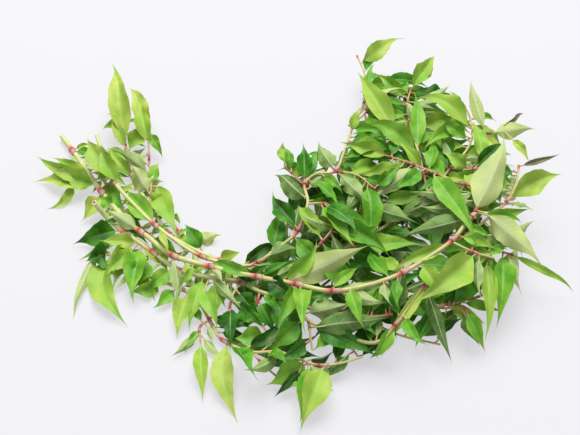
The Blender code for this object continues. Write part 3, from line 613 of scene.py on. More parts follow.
def nearest_on(lines: list[list[Vector]], point: Vector) -> Vector:
    """The point on the stem's centre lines nearest to a given one."""
    best: tuple[float, Vector] | None = None
    for line in lines:
        for a, b in zip(line, line[1:]):
            run = b - a
            t = (point - a).dot(run) / run.length_squared
            t = min(max(t, SPAN_PART[0]), SPAN_PART[1])
            spot = a + run * t
            far = (spot - point).length
            if best is None or far < best[0]:
                best = (far, spot)
    assert best is not None
    return best[1]


def leaf_spots(shoot: Shoot, gap: float, start: float) -> list[tuple[Vector, Vector]]:
    """Places a gap apart along the part of a shoot that bears leaves placed by rule.

    Args:
        shoot: The stem or side shoot.
        gap: Distance between two leaves, in mm.
        start: Where that part starts, as a share of the shoot's length.

    Returns:
        Each place on the route and the stem's direction there.
    """
    knots = [Vector(p) for p in shoot.route]
    runs = [(b - a).length for a, b in zip(knots, knots[1:])]
    total = sum(runs)
    reach = start * total + gap / 3
    spots = []
    while reach < shoot.fill[1] * total:
        left = reach
        for i, run in enumerate(runs):
            if left <= run:
                along = (knots[i + 1] - knots[i]) / run
                spots.append((knots[i] + along * left, along))
                break
            left -= run
        reach += gap
    return spots


@dataclass
class Growth:
    """The whole bunch, grown leaf by leaf so that no leaf crosses another stem's.

    A leaf from the photo tries each slide along the line of sight at each roll. A leaf placed
    by rule is drawn anew at each of its trials, from the ranges below.
    """

    bunch: tuple[StemPlan, ...]
    scale: float = 1.0
    slides: int = 15
    slide_step: float = 1.5
    base_slide: float = 0.4
    rolls: tuple[float, ...] = (0.0, 0.35, -0.35, 0.7, -0.7, 1.0)
    trials: int = 26
    trial_shrink: float = 0.012
    trial_spread: float = 2.0
    spread: Pair = (25, 75)
    arm_lean: Pair = (-0.6, 0.1)
    heap_lean: Pair = (-0.5, 0.55)
    lowest_tip: float = 1.2
    facing_x: Pair = (-0.7, 0.7)
    facing_y: Pair = (-1.2, 0.2)
    face_down_share: float = 0.25
    bow: Pair = (0.02, 0.12)
    bend: Pair = (-0.1, 0.1)
    width_share: Pair = (0.25, 0.31)

    def __post_init__(self) -> None:
        """Grow the bunch: all stems, then the photo's leaves, then those placed by rule."""
        bunch = self.bunch
        self.space = Space()
        self.blades: dict[str, list[BladeForm]] = {stem.name: [] for stem in bunch}
        self._low = Vector((1e9,) * 3)
        self._high = Vector((-1e9,) * 3)
        for stem in bunch:
            for i, shoot in enumerate(stem.shoots):
                rings, sides = rod_rings(shoot), SHOOT_SIDES if i else STEM_SIDES
                self._measure(rod_solid(rings, sides, 0.0))
                self.space.add(stem.name, rod_solid(rings, sides, CLEARANCE))
                if stem is STEM_FRONT:
                    self.space.show(rod_solid(rings, sides, 0.0))
        for stem in bunch:
            lines = [[Vector(p) for p in shoot.route] for shoot in stem.shoots]
            for leaf in stem.leaves:
                form = self._placed(stem, lines, leaf)
                self._keep(stem, form)
                if form:
                    self.space.show(form.solid())
        for stem in bunch:
            rng = random.Random(SEED + len(stem.name) + len(stem.leaves))
            self._fill(stem, rng, stem.fill_gap, 1, [shoot.fill[0] for shoot in stem.shoots])
        self.shift = Vector((-(self._low.x + self._high.x) / 2,
                             -(self._low.y + self._high.y) / 2, 0))

    def thicken(self, gap: float, scale: float) -> None:
        """Add small leaves between the ones that the solids have.

        Args:
            gap: Distance between two such leaves along a stem, in mm.
            scale: Their length as a share of that of the solids' own.
        """
        self.scale = scale
        for stem in self.bunch:
            starts = [STEM_START] + [SHOOT_START] * (len(stem.shoots) - 1)
            self._fill(stem, random.Random(2 * SEED + len(stem.leaves)), gap, -1, starts)

    def _measure(self, solid: Solid) -> None:
        """Widen the bunch's box to hold a solid."""
        for v in solid[0]:
            self._low = Vector(map(min, self._low, v))
            self._high = Vector(map(max, self._high, v))

    def _keep(self, stem: StemPlan, form: BladeForm | None) -> None:
        """Add a leaf that found its place."""
        if form:
            self.blades[stem.name].append(form)
            solid = form.solid()
            self._measure(solid)
            self.space.add(stem.name, solid)

    def _placed(self, stem: StemPlan, lines: list[list[Vector]], leaf: Leaf) -> BladeForm | None:
        """A leaf from the photo, slid along the line of sight or rolled until it is clear.

        Args:
            stem: The stem that it grows on.
            lines: The centre lines of that stem and its shoots.
            leaf: The leaf.

        Returns:
            Its form, or None where it fits nowhere.
        """
        base, tip = Vector(leaf.base), Vector(leaf.tip)
        root = nearest_on(lines, base)
        facing = -SIGHT if leaf.face_down else SIGHT
        side = (tip - base).normalized().cross(facing)
        bow = -BLADE_BOW if leaf.face_down else BLADE_BOW
        best: tuple[int, BladeForm] | None = None
        for trial in range(self.slides * len(self.rolls)):
            steps = (trial % self.slides + 1) // 2
            slide = steps * (1 if trial % 2 else -1) * self.slide_step
            roll = self.rolls[trial // self.slides]
            start = base + SIGHT * slide * self.base_slide
            end = tip + SIGHT * slide
            end.z = max(end.z, LEAF_FLOOR)
            stalk = start - root
            if stalk.length < SHORT_STALK or stalk.angle(end - start) > MOST_STALK_BEND:
                start = root + (end - root).normalized() * BARE_STALK
            profile = BLADE_PROFILE if leaf.width > NARROW_WIDTH else NARROW_PROFILE
            form = BladeForm(root, start, end, leaf.width, facing + side * roll, bow, leaf.bend,
                             profile, leaf.tone, leaf.hook)
            others, own = self.space.hits(stem.name, form.solid(CLEARANCE))
            if others == 0 and (best is None or own < best[0]):
                best = (own, form)
                if own <= 1:
                    break
        return best[1] if best else None

    def _fill(self, stem: StemPlan, rng: random.Random, gap: float, side: int,
              starts: list[float]) -> None:
        """Place leaves by rule along a stem's shoots.

        Args:
            stem: The stem.
            rng: Its seeded draw.
            gap: Distance between two leaves, in mm.
            side: The side of the first one, 1 or -1.
            starts: Where on each shoot they start, as a share of its length.
        """
        for shoot, start in zip(stem.shoots, starts):
            for spot, along in leaf_spots(shoot, gap, start):
                self._keep(stem, self._ruled(stem, rng, spot, along, side))
                side = -side

    def _ruled(self, stem: StemPlan, rng: random.Random, root: Vector, along: Vector,
               side: int) -> BladeForm | None:
        """A leaf placed by rule beside a joint, turned until it is clear of all the others.

        Args:
            stem: The stem that it grows on.
            rng: The stem's seeded draw.
            root: Where it grows from.
            along: The stem's direction there.
            side: 1 or -1.

        Returns:
            Its form, or None where it fits nowhere.
        """
        across = along.cross(Vector((0, 0, 1))).normalized() * side
        on_arm = root.x < ARM_END
        for trial in range(self.trials):
            spread = radians(rng.uniform(*self.spread) + self.trial_spread * trial)
            lean = Vector((0, 0, rng.uniform(*(self.arm_lean if on_arm else self.heap_lean))))
            heading = (along * cos(spread) + across * sin(spread) + lean).normalized()
            length = rng.uniform(*(ARM_LEAF if on_arm else HEAP_LEAF))
            length *= self.scale * (1 - self.trial_shrink * trial)
            base = root + heading * BARE_STALK
            tip = base + heading * length
            if not inside_heap(tip.x, tip.y + tip.z / tan(VIEW_RISE)):
                continue
            if not self.lowest_tip < tip.z < HEAP_TOP:
                continue
            drawn = rng.uniform(*self.facing_x), rng.uniform(*self.facing_y), 1.0
            facing = Vector(drawn).normalized()
            face_down = rng.random() < self.face_down_share
            facing = -facing if face_down else facing
            bow = (-1 if face_down else 1) * rng.uniform(*self.bow)
            bend = rng.uniform(*self.bend)
            width = length * rng.uniform(*self.width_share)
            form = BladeForm(root, base, tip, width, facing, bow, bend, FILL_PROFILE)
            solid = form.solid(CLEARANCE)
            others, own = self.space.hits(stem.name, solid)
            if others == 0 and own <= 1 and not self.space.hides(solid[0][STALK_POINTS:]):
                return form
        return None


def linear(colour: str) -> tuple[float, float, float, float]:
    """An sRGB hex colour as the linear values that shaders take."""
    parts = [int(colour[i:i + 2], 16) / 255 for i in (1, 3, 5)]
    return (*(c / 12.92 if c <= 0.04045 else ((c + 0.055) / 1.055) ** 2.4 for c in parts), 1.0)


def feed(node: bpy.types.Node, sockets: dict[int | str, Any]) -> bpy.types.Node:
    """Give a node's input sockets their constants and links.

    Args:
        node: The node.
        sockets: Socket index or name to a constant, a socket, a node whose first output is
            meant, or a list of nodes that all go into one socket.

    Returns:
        The same node.
    """
    for key, given in sockets.items():
        for value in given if isinstance(given, list) else [given]:
            value = value.outputs[0] if isinstance(value, bpy.types.Node) else value
            if isinstance(value, bpy.types.NodeSocket):
                node.id_data.links.new(value, node.inputs[key])
            else:
                node.inputs[key].default_value = value
    return node


def add_node(tree: bpy.types.NodeTree, kind: str, *values: Any, **settings: Any) -> bpy.types.Node:
    """Add a node with its settings and links.

    Args:
        tree: The node tree.
        kind: The node's type name.
        *values: What the first sockets get, in order. A dictionary names other sockets.
        **settings: The node's own properties, set before its sockets.

    Returns:
        The new node.
    """
    node = tree.nodes.new(kind)
    for name, value in settings.items():
        setattr(node, name, value)
    for i, value in enumerate(values):
        feed(node, value if isinstance(value, dict) else {i: value})
    return node


def ramp_stops(node: bpy.types.Node, stops: Stops) -> bpy.types.Node:
    """Give a colour ramp node its stops.

    Args:
        node: The colour ramp.
        stops: Place from 0 to 1 and sRGB hex colour of each stop.

    Returns:
        The same node.
    """
    elements = node.color_ramp.elements
    while len(elements) < len(stops):
        elements.new(0.5)
    for element, (place, colour) in zip(elements, stops):
        element.position = place
        element.color = linear(colour)
    return node


def new_material(name: str) -> tuple[bpy.types.Material, bpy.types.Node, partial[bpy.types.Node]]:
    """A material with its shader and what adds a node to it."""
    material = bpy.data.materials.new(name)
    material.use_nodes = True
    tree = material.node_tree
    return material, tree.nodes["Principled BSDF"], partial(add_node, tree)


def light_through(shader: bpy.types.Node, share: float, inputs: dict[int | str, Any]) -> None:
    """Let a share of the light through a thin tissue.

    Args:
        shader: The shader of its lit face.
        share: The share, from 0 to 1.
        inputs: Colour and direction of what comes through.
    """
    tree = shader.id_data
    through = add_node(tree, "ShaderNodeBsdfTranslucent", inputs)
    mixed = add_node(tree, "ShaderNodeMixShader", share, shader, through)
    feed(tree.nodes["Material Output"], {"Surface": mixed})


@dataclass(frozen=True)
class LeafSkin:
    """One face of a fresh laksa leaf: thin living tissue that lets a third of the light
    through, with a paler midrib and side veins that swing towards the tip."""

    name: str
    greens: Stops
    glow: str
    vein: str
    rib_show: float
    vein_show: float
    roughness: float
    relief: float
    light_share: float = 0.30
    glow_share: float = 0.55
    vein_gap_mm: float = 3.6
    vein_swing: float = -1.3
    vein_half: float = 0.11
    rib_edges: Pair = (0.03, 0.10)
    blotch_mm: float = 9.0
    blotch_range: Range4 = (0.3, 0.7, -0.13, 0.13)
    margin_shade: float = 0.08
    speck_mm: float = 2.2
    speck_range: Range4 = (0.71, 0.75, 0.0, 0.8)
    rust: str = "#8A5A22"
    dried: str = "#8C8264"
    pore_mm: float = 0.9
    pore_share: float = 0.25
    relief_mm: float = 0.2
    relief_strength: float = 0.6

    def build(self) -> bpy.types.Material:
        """The skin as a material that follows each blade's own length and width."""
        material, shader, add = new_material(self.name)
        place = add("ShaderNodeTexCoord").outputs["Object"]
        across, along, length, tone, worn, dried = (
            add("ShaderNodeAttribute", attribute_name=name).outputs["Fac"]
            for name in ("across", "along", "blade_mm", "tone", "blemish", "dried"))
        off_rib = add(MATH, across, operation="ABSOLUTE")

        # Side veins: one every few millimetres, each reaching further up towards the margin.
        reach = add(MATH, along, length, operation="MULTIPLY")
        count = add(MATH, reach, self.vein_gap_mm, operation="DIVIDE")
        swing = add(MATH, off_rib, self.vein_swing, count, operation="MULTIPLY_ADD")
        between = add(MATH, swing, 0.5, operation="PINGPONG")
        vein = add(RANGE, between, 0.0, self.vein_half, 1.0, 0.0, interpolation_type="SMOOTHSTEP")
        rib = add(RANGE, off_rib, *self.rib_edges, 1.0, 0.0, interpolation_type="SMOOTHSTEP")

        blotch = add(NOISE, {"Vector": place, "Scale": 1 / (self.blotch_mm * MM), "Detail": 3.0})
        shade = add(RANGE, blotch, *self.blotch_range)
        edge = add(MATH, off_rib, self.margin_shade, shade, operation="MULTIPLY_ADD")
        # The blade's tone, with painted shade on low leaves of the heap, plus random blotches and a
        # paler margin.
        tone_and_shade = add(MATH, tone, edge, operation="ADD", use_clamp=True)
        green = ramp_stops(add(RAMP, tone_and_shade), self.greens)
        rib_part = add(MATH, rib, self.rib_show, operation="MULTIPLY")
        vein_part = add(MATH, vein, self.vein_show, operation="MULTIPLY")
        pale = add(MATH, rib_part, vein_part, operation="MAXIMUM")
        veined = add(MIX, pale, {6: green, 7: linear(self.vein)}, data_type="RGBA")

        # Rust specks, only on leaves that are marked as worn, and leaves gone dry.
        speck = add(NOISE, {"Vector": place, "Scale": 1 / (self.speck_mm * MM), "Detail": 2.0})
        spots = add(RANGE, speck, *self.speck_range)
        rust = add(MATH, spots, worn, operation="MULTIPLY")
        rusty = add(MIX, rust, {6: veined.outputs[2], 7: linear(self.rust)}, data_type="RGBA")
        colour = add(MIX, dried, {6: rusty.outputs[2], 7: linear(self.dried)},
                     data_type="RGBA").outputs[2]

        # Relief in millimetres: tissue stands a little proud between the veins.
        pore = add(NOISE, {"Vector": place, "Scale": 1 / (self.pore_mm * MM), "Detail": 2.0})
        swell = add(MATH, between, self.relief, operation="MULTIPLY")
        grain = add(MATH, pore, self.pore_share, swell, operation="MULTIPLY_ADD")
        bump = add("ShaderNodeBump", {"Height": grain, "Distance": self.relief_mm * MM,
                                      "Strength": self.relief_strength})
        feed(shader, {"Base Color": colour, "Normal": bump, "Roughness": self.roughness,
                      "IOR": TISSUE_IOR})
        lit = add(MIX, self.glow_share, {6: colour, 7: linear(self.glow)}, data_type="RGBA")
        light_through(shader, self.light_share, {"Color": lit.outputs[2], "Normal": bump})
        return material


# The darkest greens are where painted shade puts the low leaves of the heap.
UPPER_SKIN = LeafSkin(
    "fresh_leaf_upper_skin",
    greens=((0.0, "#0A3006"), (0.20, "#348414"), (0.42, "#70BA30"), (0.62, "#9ED048"),
            (0.80, "#B2D256"), (1.0, "#D6E076")),
    glow="#B4E040", vein="#CBDD8C", rib_show=0.34, vein_show=0.09, roughness=0.47, relief=0.7)
UNDER_SKIN = LeafSkin(
    "fresh_leaf_pale_underside",
    greens=((0.0, "#4E7A2E"), (0.25, "#8AB058"), (0.50, "#B6CC80"), (0.72, "#CCDA94"),
            (1.0, "#D8E48C")),
    glow="#C8E070", vein="#E6ECC8", rib_show=0.72, vein_show=0.20, roughness=0.58, relief=0.8)


@dataclass(frozen=True)
class StemSkin:
    """Smooth juicy stem skin: pale yellow-green with fine long streaks, tan about each
    joint and pink-red at it. Thin shoots redden all over."""

    name: str = "fresh_stem_skin"
    greens: Stops = ((0.30, "#A9B860"), (0.48, "#CCD384"), (0.70, "#E2E5AC"))
    reddened: str = "#A85A38"
    tan: str = "#E2B488"
    blush: str = "#D23C54"
    red_blush: str = "#7E2C22"
    streak_mm: float = 0.5
    streak_stretch: float = 0.035
    relief_mm: float = 0.12
    roughness: float = 0.38

    def build(self) -> bpy.types.Material:
        """The skin as a material that follows each stem's own length."""
        material, shader, add = new_material(self.name)
        ring = add("ShaderNodeAttribute", attribute_name="ring").outputs["Vector"]
        run, flush, halo, redness = (
            add("ShaderNodeAttribute", attribute_name=name).outputs["Fac"]
            for name in ("run_mm", "flush", "halo", "redness"))
        slow = add(MATH, run, self.streak_stretch, operation="MULTIPLY")
        apart = add("ShaderNodeCombineXYZ", {2: slow})
        streaked = add(VECTOR, ring, apart, operation="ADD")
        streak = add(NOISE, {"Vector": streaked, "Scale": 2.0 / self.streak_mm, "Detail": 2.0})
        green = ramp_stops(add(RAMP, streak), self.greens)
        reddened = add(MIX, redness, {6: green, 7: linear(self.reddened)}, data_type="RGBA")
        tanned = add(MIX, halo, {6: reddened.outputs[2], 7: linear(self.tan)}, data_type="RGBA")
        blush = add(MIX, redness, {6: linear(self.blush), 7: linear(self.red_blush)},
                    data_type="RGBA")
        blushed = add(MIX, flush, {6: tanned.outputs[2], 7: blush.outputs[2]}, data_type="RGBA")
        bump = add("ShaderNodeBump", {"Height": streak, "Distance": self.relief_mm * MM,
                                      "Strength": 0.5})
        feed(shader, {"Base Color": blushed.outputs[2], "Normal": bump,
                      "Roughness": self.roughness, "IOR": TISSUE_IOR})
        return material


@dataclass(frozen=True)
class SheathSkin:
    """Dry papery sheath round a joint: tan to red-brown, ribbed along the stem, thin enough
    to show some light."""

    name: str = "dry_papery_sheath"
    paper: Stops = ((0.32, "#D9A88E"), (0.50, "#EFCBB0"), (0.68, "#F6E2CE"))
    young: str = "#9C4634"
    foot: str = "#CC4058"
    foot_range: Range4 = (0.0, 0.62, 0.9, 0.0)
    ribs: float = 5.0
    relief_mm: float = 0.15
    roughness: float = 0.68
    light_share: float = 0.3

    def build(self) -> bpy.types.Material:
        """The paper as a material with long ribs."""
        material, shader, add = new_material(self.name)
        ring = add("ShaderNodeAttribute", attribute_name="ring").outputs["Vector"]
        along, redness = (add("ShaderNodeAttribute", attribute_name=name).outputs["Fac"]
                          for name in ("along", "redness"))
        rib = add(NOISE, {"Vector": ring, "Scale": self.ribs, "Detail": 2.0})
        paper = ramp_stops(add(RAMP, rib), self.paper)
        young = add(MIX, redness, {6: paper, 7: linear(self.young)}, data_type="RGBA")
        foot = add(RANGE, along, *self.foot_range)
        colour = add(MIX, foot, {6: young.outputs[2], 7: linear(self.foot)},
                     data_type="RGBA").outputs[2]
        bump = add("ShaderNodeBump", {"Height": rib, "Distance": self.relief_mm * MM,
                                      "Strength": 0.7})
        feed(shader, {"Base Color": colour, "Normal": bump, "Roughness": self.roughness})
        light_through(shader, self.light_share, {"Color": colour})
        return material


@dataclass(frozen=True)
class BristleSkin:
    """Stiff dry hair along a sheath's rim."""

    name: str = "dry_sheath_bristle"
    straw: Stops = ((0.35, "#A9744A"), (0.65, "#DDB988"))
    patch_mm: float = 4.0
    roughness: float = 0.6

    def build(self) -> bpy.types.Material:
        """Straw-coloured hair, a little darker in places."""
        material, shader, add = new_material(self.name)
        place = add("ShaderNodeTexCoord").outputs["Object"]
        noise = add(NOISE, {"Vector": place, "Scale": 1 / (self.patch_mm * MM)})
        feed(shader, {"Base Color": ramp_stops(add(RAMP, noise), self.straw),
                      "Roughness": self.roughness})
        return material


@dataclass(frozen=True)
class CutFace:
    """A stem's fresh cut end: wet pale flesh, a green rim and a reddened pith."""

    name: str = "fresh_cut_stem_flesh"
    flesh: Stops = ((0.52, "#A8203A"), (0.64, "#D2756E"), (0.78, "#F0E4CC"), (0.96, "#E2E2B4"),
                    (1.0, "#BCC878"))
    grain_mm: float = 0.8
    grain_share: float = 0.2
    roughness: float = 0.3

    def build(self) -> bpy.types.Material:
        """The cut as rings from the pith outwards."""
        material, shader, add = new_material(self.name)
        rim = add("ShaderNodeAttribute", attribute_name="rim").outputs["Fac"]
        place = add("ShaderNodeTexCoord").outputs["Object"]
        noise = add(NOISE, {"Vector": place, "Scale": 1 / (self.grain_mm * MM)})
        uneven = add(MATH, noise, self.grain_share, rim, operation="MULTIPLY_ADD")
        feed(shader, {"Base Color": ramp_stops(add(RAMP, uneven), self.flesh),
                      "Roughness": self.roughness})
        return material


class Finishes:
    """Every finish of the bunch, built once."""

    def __init__(self) -> None:
        """Build the materials."""
        self.upper = UPPER_SKIN.build()
        self.under = UNDER_SKIN.build()
        self.stem = StemSkin().build()
        self.sheath = SheathSkin().build()
        self.bristle = BristleSkin().build()
        self.cut = CutFace().build()


def new_shape_tree(name: str, sizes: tuple[tuple[str, str, Any], ...],
                   ) -> tuple[bpy.types.NodeTree, Any, partial[bpy.types.Node]]:
    """A geometry tree with its named inputs.

    Args:
        name: The tree's name.
        sizes: Name, kind and starting value of each input.

    Returns:
        The tree, the sockets that give its inputs, and what adds a node to it.
    """
    tree = bpy.data.node_groups.new(name, "GeometryNodeTree")
    tree.interface.new_socket("Threads", in_out="INPUT", socket_type="NodeSocketGeometry")
    for label, kind, value in sizes:
        socket = tree.interface.new_socket(label, in_out="INPUT", socket_type=f"NodeSocket{kind}")
        if value is not None:
            socket.default_value = value
    tree.interface.new_socket("Shape", in_out="OUTPUT", socket_type="NodeSocketGeometry")
    add = partial(add_node, tree)
    return tree, add("NodeGroupInput").outputs, add


def blade_tree() -> bpy.types.NodeTree:
    """Sweeps a leaf's cross-section along each midrib, with a waved margin, as a closed thin
    body whose two faces meet at the margin."""
    tree, given, add = new_shape_tree("leaf_blades", (
        ("Points across", "Int", 9), ("Fold curve", "Float", 1.12), ("Wave offset", "Float", 1.2),
        ("Blade thickness", "Float", 0.3 * MM), ("Rib width", "Float", 0.12),
        ("Upper skin", "Material", None), ("Under skin", "Material", None)))
    spine, side, face = (add(FIELD, name, data_type="FLOAT_VECTOR")
                         for name in ("spine", "side", "face"))
    across, half, fold_height, ripple_height, ripple_turn, end_share, rib_height = (
        add(FIELD, name, data_type="FLOAT")
        for name in ("across", "half", "fold_height", "ripple_height", "ripple_turn",
                     "end_share", "rib_height"))
    rail = add("GeometryNodeMeshToCurve", given["Threads"])
    line = add("GeometryNodeCurvePrimitiveLine", {"Start": (-1, 0, 0), "End": (1, 0, 0)})
    section = add("GeometryNodeResampleCurve", {"Curve": line, "Count": given["Points across"]})
    share = add("GeometryNodeSplineParameter")
    signed = add(MATH, share, 2.0, -1.0, operation="MULTIPLY_ADD")
    named = add(STORE, {"Geometry": section, "Name": "across", 3: signed})
    sheet = add(SWEEP, {"Curve": rail, "Profile Curve": named})

    # Height of the blade above its midrib: the fold, then the waves that grow to the margin.
    off_rib = add(MATH, across, operation="ABSOLUTE")
    rise = add(MATH, off_rib, given["Fold curve"], operation="POWER")
    fold = add(MATH, rise, fold_height, operation="MULTIPLY")
    square = add(MATH, off_rib, 2.0, operation="POWER")
    turn = add(MATH, across, given["Wave offset"], ripple_turn, operation="MULTIPLY_ADD")
    wave = add(MATH, turn, operation="SINE")
    swing = add(MATH, wave, ripple_height, operation="MULTIPLY")
    height = add(MATH, swing, square, fold, operation="MULTIPLY_ADD")
    reach = add(MATH, half, across, operation="MULTIPLY")
    sideways = add(VECTOR, side, {"Scale": reach}, operation="SCALE")
    upwards = add(VECTOR, face, {"Scale": height}, operation="SCALE")
    out = add(VECTOR, spine, sideways, operation="ADD")
    place = add(VECTOR, out, upwards, operation="ADD")
    shaped = add(MOVE, {"Geometry": sheet, "Position": place})

    # Thickness, none at the margin and the ends, and a midrib that stands out underneath.
    inner = add(MATH, 1.0, square, operation="SUBTRACT")
    body = add(MATH, inner, end_share, operation="MULTIPLY")
    thick = add(MATH, body, given["Blade thickness"], operation="MULTIPLY")
    half_thick = add(MATH, thick, 0.5, operation="MULTIPLY")
    near = add(MATH, off_rib, given["Rib width"], operation="DIVIDE")
    near_square = add(MATH, near, near, operation="MULTIPLY")
    fade = add(MATH, near_square, -1.0, operation="MULTIPLY")
    bulge = add(MATH, fade, operation="EXPONENT")
    rib = add(MATH, bulge, rib_height, half_thick, operation="MULTIPLY_ADD")
    down = add(MATH, rib, -1.0, operation="MULTIPLY")
    lift = add(VECTOR, face, {"Scale": half_thick}, operation="SCALE")
    drop = add(VECTOR, face, {"Scale": down}, operation="SCALE")
    top = add(MOVE, {"Geometry": shaped, "Offset": lift})
    flipped = add("GeometryNodeFlipFaces", shaped)
    bottom = add(MOVE, {"Geometry": flipped, "Offset": drop})
    marked = add(STORE, {"Geometry": bottom, "Name": "underside", "Value": True},
                 data_type="BOOLEAN", domain="FACE")
    both = add(JOIN, [top, marked])
    closed = add(MERGE, {"Geometry": both, "Distance": SEAM})
    smooth = add(SHADE, {"Geometry": closed})
    margin = add(MATH, off_rib, AT_END, operation="GREATER_THAN")
    crisp = add(SHADE, {"Geometry": smooth, "Selection": margin, "Shade Smooth": False},
                domain="EDGE")
    real = add(REAL, {"Geometry": crisp})
    underside = add(FIELD, "underside", data_type="BOOLEAN")
    upper = add(DRESS, {"Geometry": real, "Material": given["Upper skin"]})
    add("NodeGroupOutput", add(DRESS, {"Geometry": upper, "Selection": underside,
                                       "Material": given["Under skin"]}))
    return tree


def tube_tree() -> bpy.types.NodeTree:
    """Sweeps a round section along each thread, as thick as the thread says."""
    tree, given, add = new_shape_tree("round_stems", (
        ("Sides", "Int", 12), ("Skin", "Material", None)))
    rail = add("GeometryNodeMeshToCurve", given["Threads"])
    circle = add(CIRCLE, {"Resolution": given["Sides"], "Radius": 1.0})
    spot = add("GeometryNodeInputPosition")
    named = add(STORE, {"Geometry": circle, "Name": "ring", 3: spot}, data_type="FLOAT_VECTOR")
    girth = add(FIELD, "girth", data_type="FLOAT")
    tube = add(SWEEP, {"Curve": rail, "Profile Curve": named, "Scale": girth, "Fill Caps": True})
    real = add(REAL, {"Geometry": tube})
    add("NodeGroupOutput", add(DRESS, {"Geometry": real, "Material": given["Skin"]}))
    return tree


def sheath_tree() -> bpy.types.NodeTree:
    """Wraps a thin slanted sleeve round each thread and sets bristles along its rim."""
    tree, given, add = new_shape_tree("bristly_sheaths", (
        ("Sides", "Int", 14), ("Wall", "Float", 0.16 * MM), ("Slant", "Float", 0.55),
        ("Bristle length", "Float", 2.6 * MM), ("Bristle radius", "Float", 0.09 * MM),
        ("Seed", "Int", SEED), ("Paper", "Material", None), ("Hair", "Material", None)))
    spine, axis, ring = (add(FIELD, name, data_type="FLOAT_VECTOR")
                         for name in ("spine", "axis", "ring"))
    girth, along = (add(FIELD, name, data_type="FLOAT") for name in ("girth", "along"))
    rail = add("GeometryNodeMeshToCurve", given["Threads"])
    circle = add(CIRCLE, {"Resolution": given["Sides"], "Radius": 1.0})
    spot = add("GeometryNodeInputPosition")
    named = add(STORE, {"Geometry": circle, "Name": "ring", 3: spot}, data_type="FLOAT_VECTOR")
    sleeve = add(SWEEP, {"Curve": rail, "Profile Curve": named, "Scale": girth})

    # One side of the rim stands further up the stem than the other.
    parts = add("ShaderNodeSeparateXYZ", ring)
    tilt = add(MATH, parts, given["Slant"], operation="MULTIPLY")
    wide = add(MATH, tilt, girth, operation="MULTIPLY")
    late = add(MATH, wide, along, operation="MULTIPLY")
    slide = add(VECTOR, axis, {"Scale": late}, operation="SCALE")
    slanted = add(MOVE, {"Geometry": sleeve, "Offset": slide})

    # The inner wall, which meets the outer one at both ends.
    rest = add(MATH, 1.0, along, operation="SUBTRACT")
    both_ends = add(MATH, rest, along, operation="MULTIPLY")
    deep = add(MATH, both_ends, 4.0, operation="MULTIPLY")
    wall = add(MATH, deep, given["Wall"], operation="MULTIPLY")
    inwards = add(VECTOR, spine, spot, operation="SUBTRACT")
    straight = add(VECTOR, inwards, operation="NORMALIZE")
    step = add(VECTOR, straight, {"Scale": wall}, operation="SCALE")
    flipped = add("GeometryNodeFlipFaces", slanted)
    inner = add(MOVE, {"Geometry": flipped, "Offset": step})
    both = add(JOIN, [slanted, inner])
    closed = add(MERGE, {"Geometry": both, "Distance": SEAM})
    smooth = add(SHADE, {"Geometry": closed})

    # Bristles that lean a little at random from the rim, each of its own length.
    at_rim = add(MATH, along, AT_END, operation="GREATER_THAN")
    rim = add("GeometryNodeMeshToPoints", {"Mesh": slanted, "Selection": at_rim})
    stray = add("FunctionNodeRandomValue", (-0.35,) * 3, (0.35,) * 3, {"Seed": given["Seed"]},
                data_type="FLOAT_VECTOR")
    heading = add(VECTOR, axis, stray, operation="ADD")
    turn = add("FunctionNodeAlignRotationToVector", {"Vector": heading}, axis="Z")
    long = add("FunctionNodeRandomValue", {2: 0.5, 3: 1.25, "Seed": given["Seed"]},
               data_type="FLOAT")
    hair = add("GeometryNodeMeshCone", {"Vertices": 3, "Radius Bottom": given["Bristle radius"],
                                        "Depth": given["Bristle length"]})
    marked = add(STORE, {"Geometry": hair, "Name": "bristle", "Value": True},
                 data_type="BOOLEAN", domain="FACE")
    hairs = add("GeometryNodeInstanceOnPoints", {"Points": rim, "Instance": marked,
                                                 "Rotation": turn, "Scale": long.outputs[1]})
    whole = add(JOIN, [smooth, hairs])
    real = add(REAL, {"Geometry": whole})
    bristle = add(FIELD, "bristle", data_type="BOOLEAN")
    paper = add(DRESS, {"Geometry": real, "Material": given["Paper"]})
    add("NodeGroupOutput", add(DRESS, {"Geometry": paper, "Selection": bristle,
                                       "Material": given["Hair"]}))
    return tree


@dataclass
class Thread:
    """One open line of points, in millimetres, with the values that each point carries."""

    points: np.ndarray
    values: dict[str, np.ndarray]


def linked(name: str, data: bpy.types.ID) -> bpy.types.Object:
    """A new object in the scene that shows a mesh, a light or a camera."""
    obj = bpy.data.objects.new(name, data)
    bpy.context.scene.collection.objects.link(obj)
    return obj


def thread_object(name: str, threads: list[Thread]) -> bpy.types.Object:
    """A mesh of edges that holds the threads and their values, in metres.

    Args:
        name: The object's name.
        threads: The threads. All carry the same values.

    Returns:
        The linked object, at the origin.
    """
    mesh = bpy.data.meshes.new(name)
    points = np.concatenate([thread.points for thread in threads]) * MM
    edges, first = [], 0
    for thread in threads:
        edges += [(i, i + 1) for i in range(first, first + len(thread.points) - 1)]
        first += len(thread.points)
    mesh.from_pydata(points.tolist(), edges, [])
    for key in threads[0].values:
        column = np.concatenate([thread.values[key] for thread in threads])
        kind = "FLOAT_VECTOR" if column.ndim == 2 else "FLOAT"
        layer = mesh.attributes.new(key, kind, "POINT")
        layer.data.foreach_set("vector" if column.ndim == 2 else "value", column.ravel())
    return linked(name, mesh)


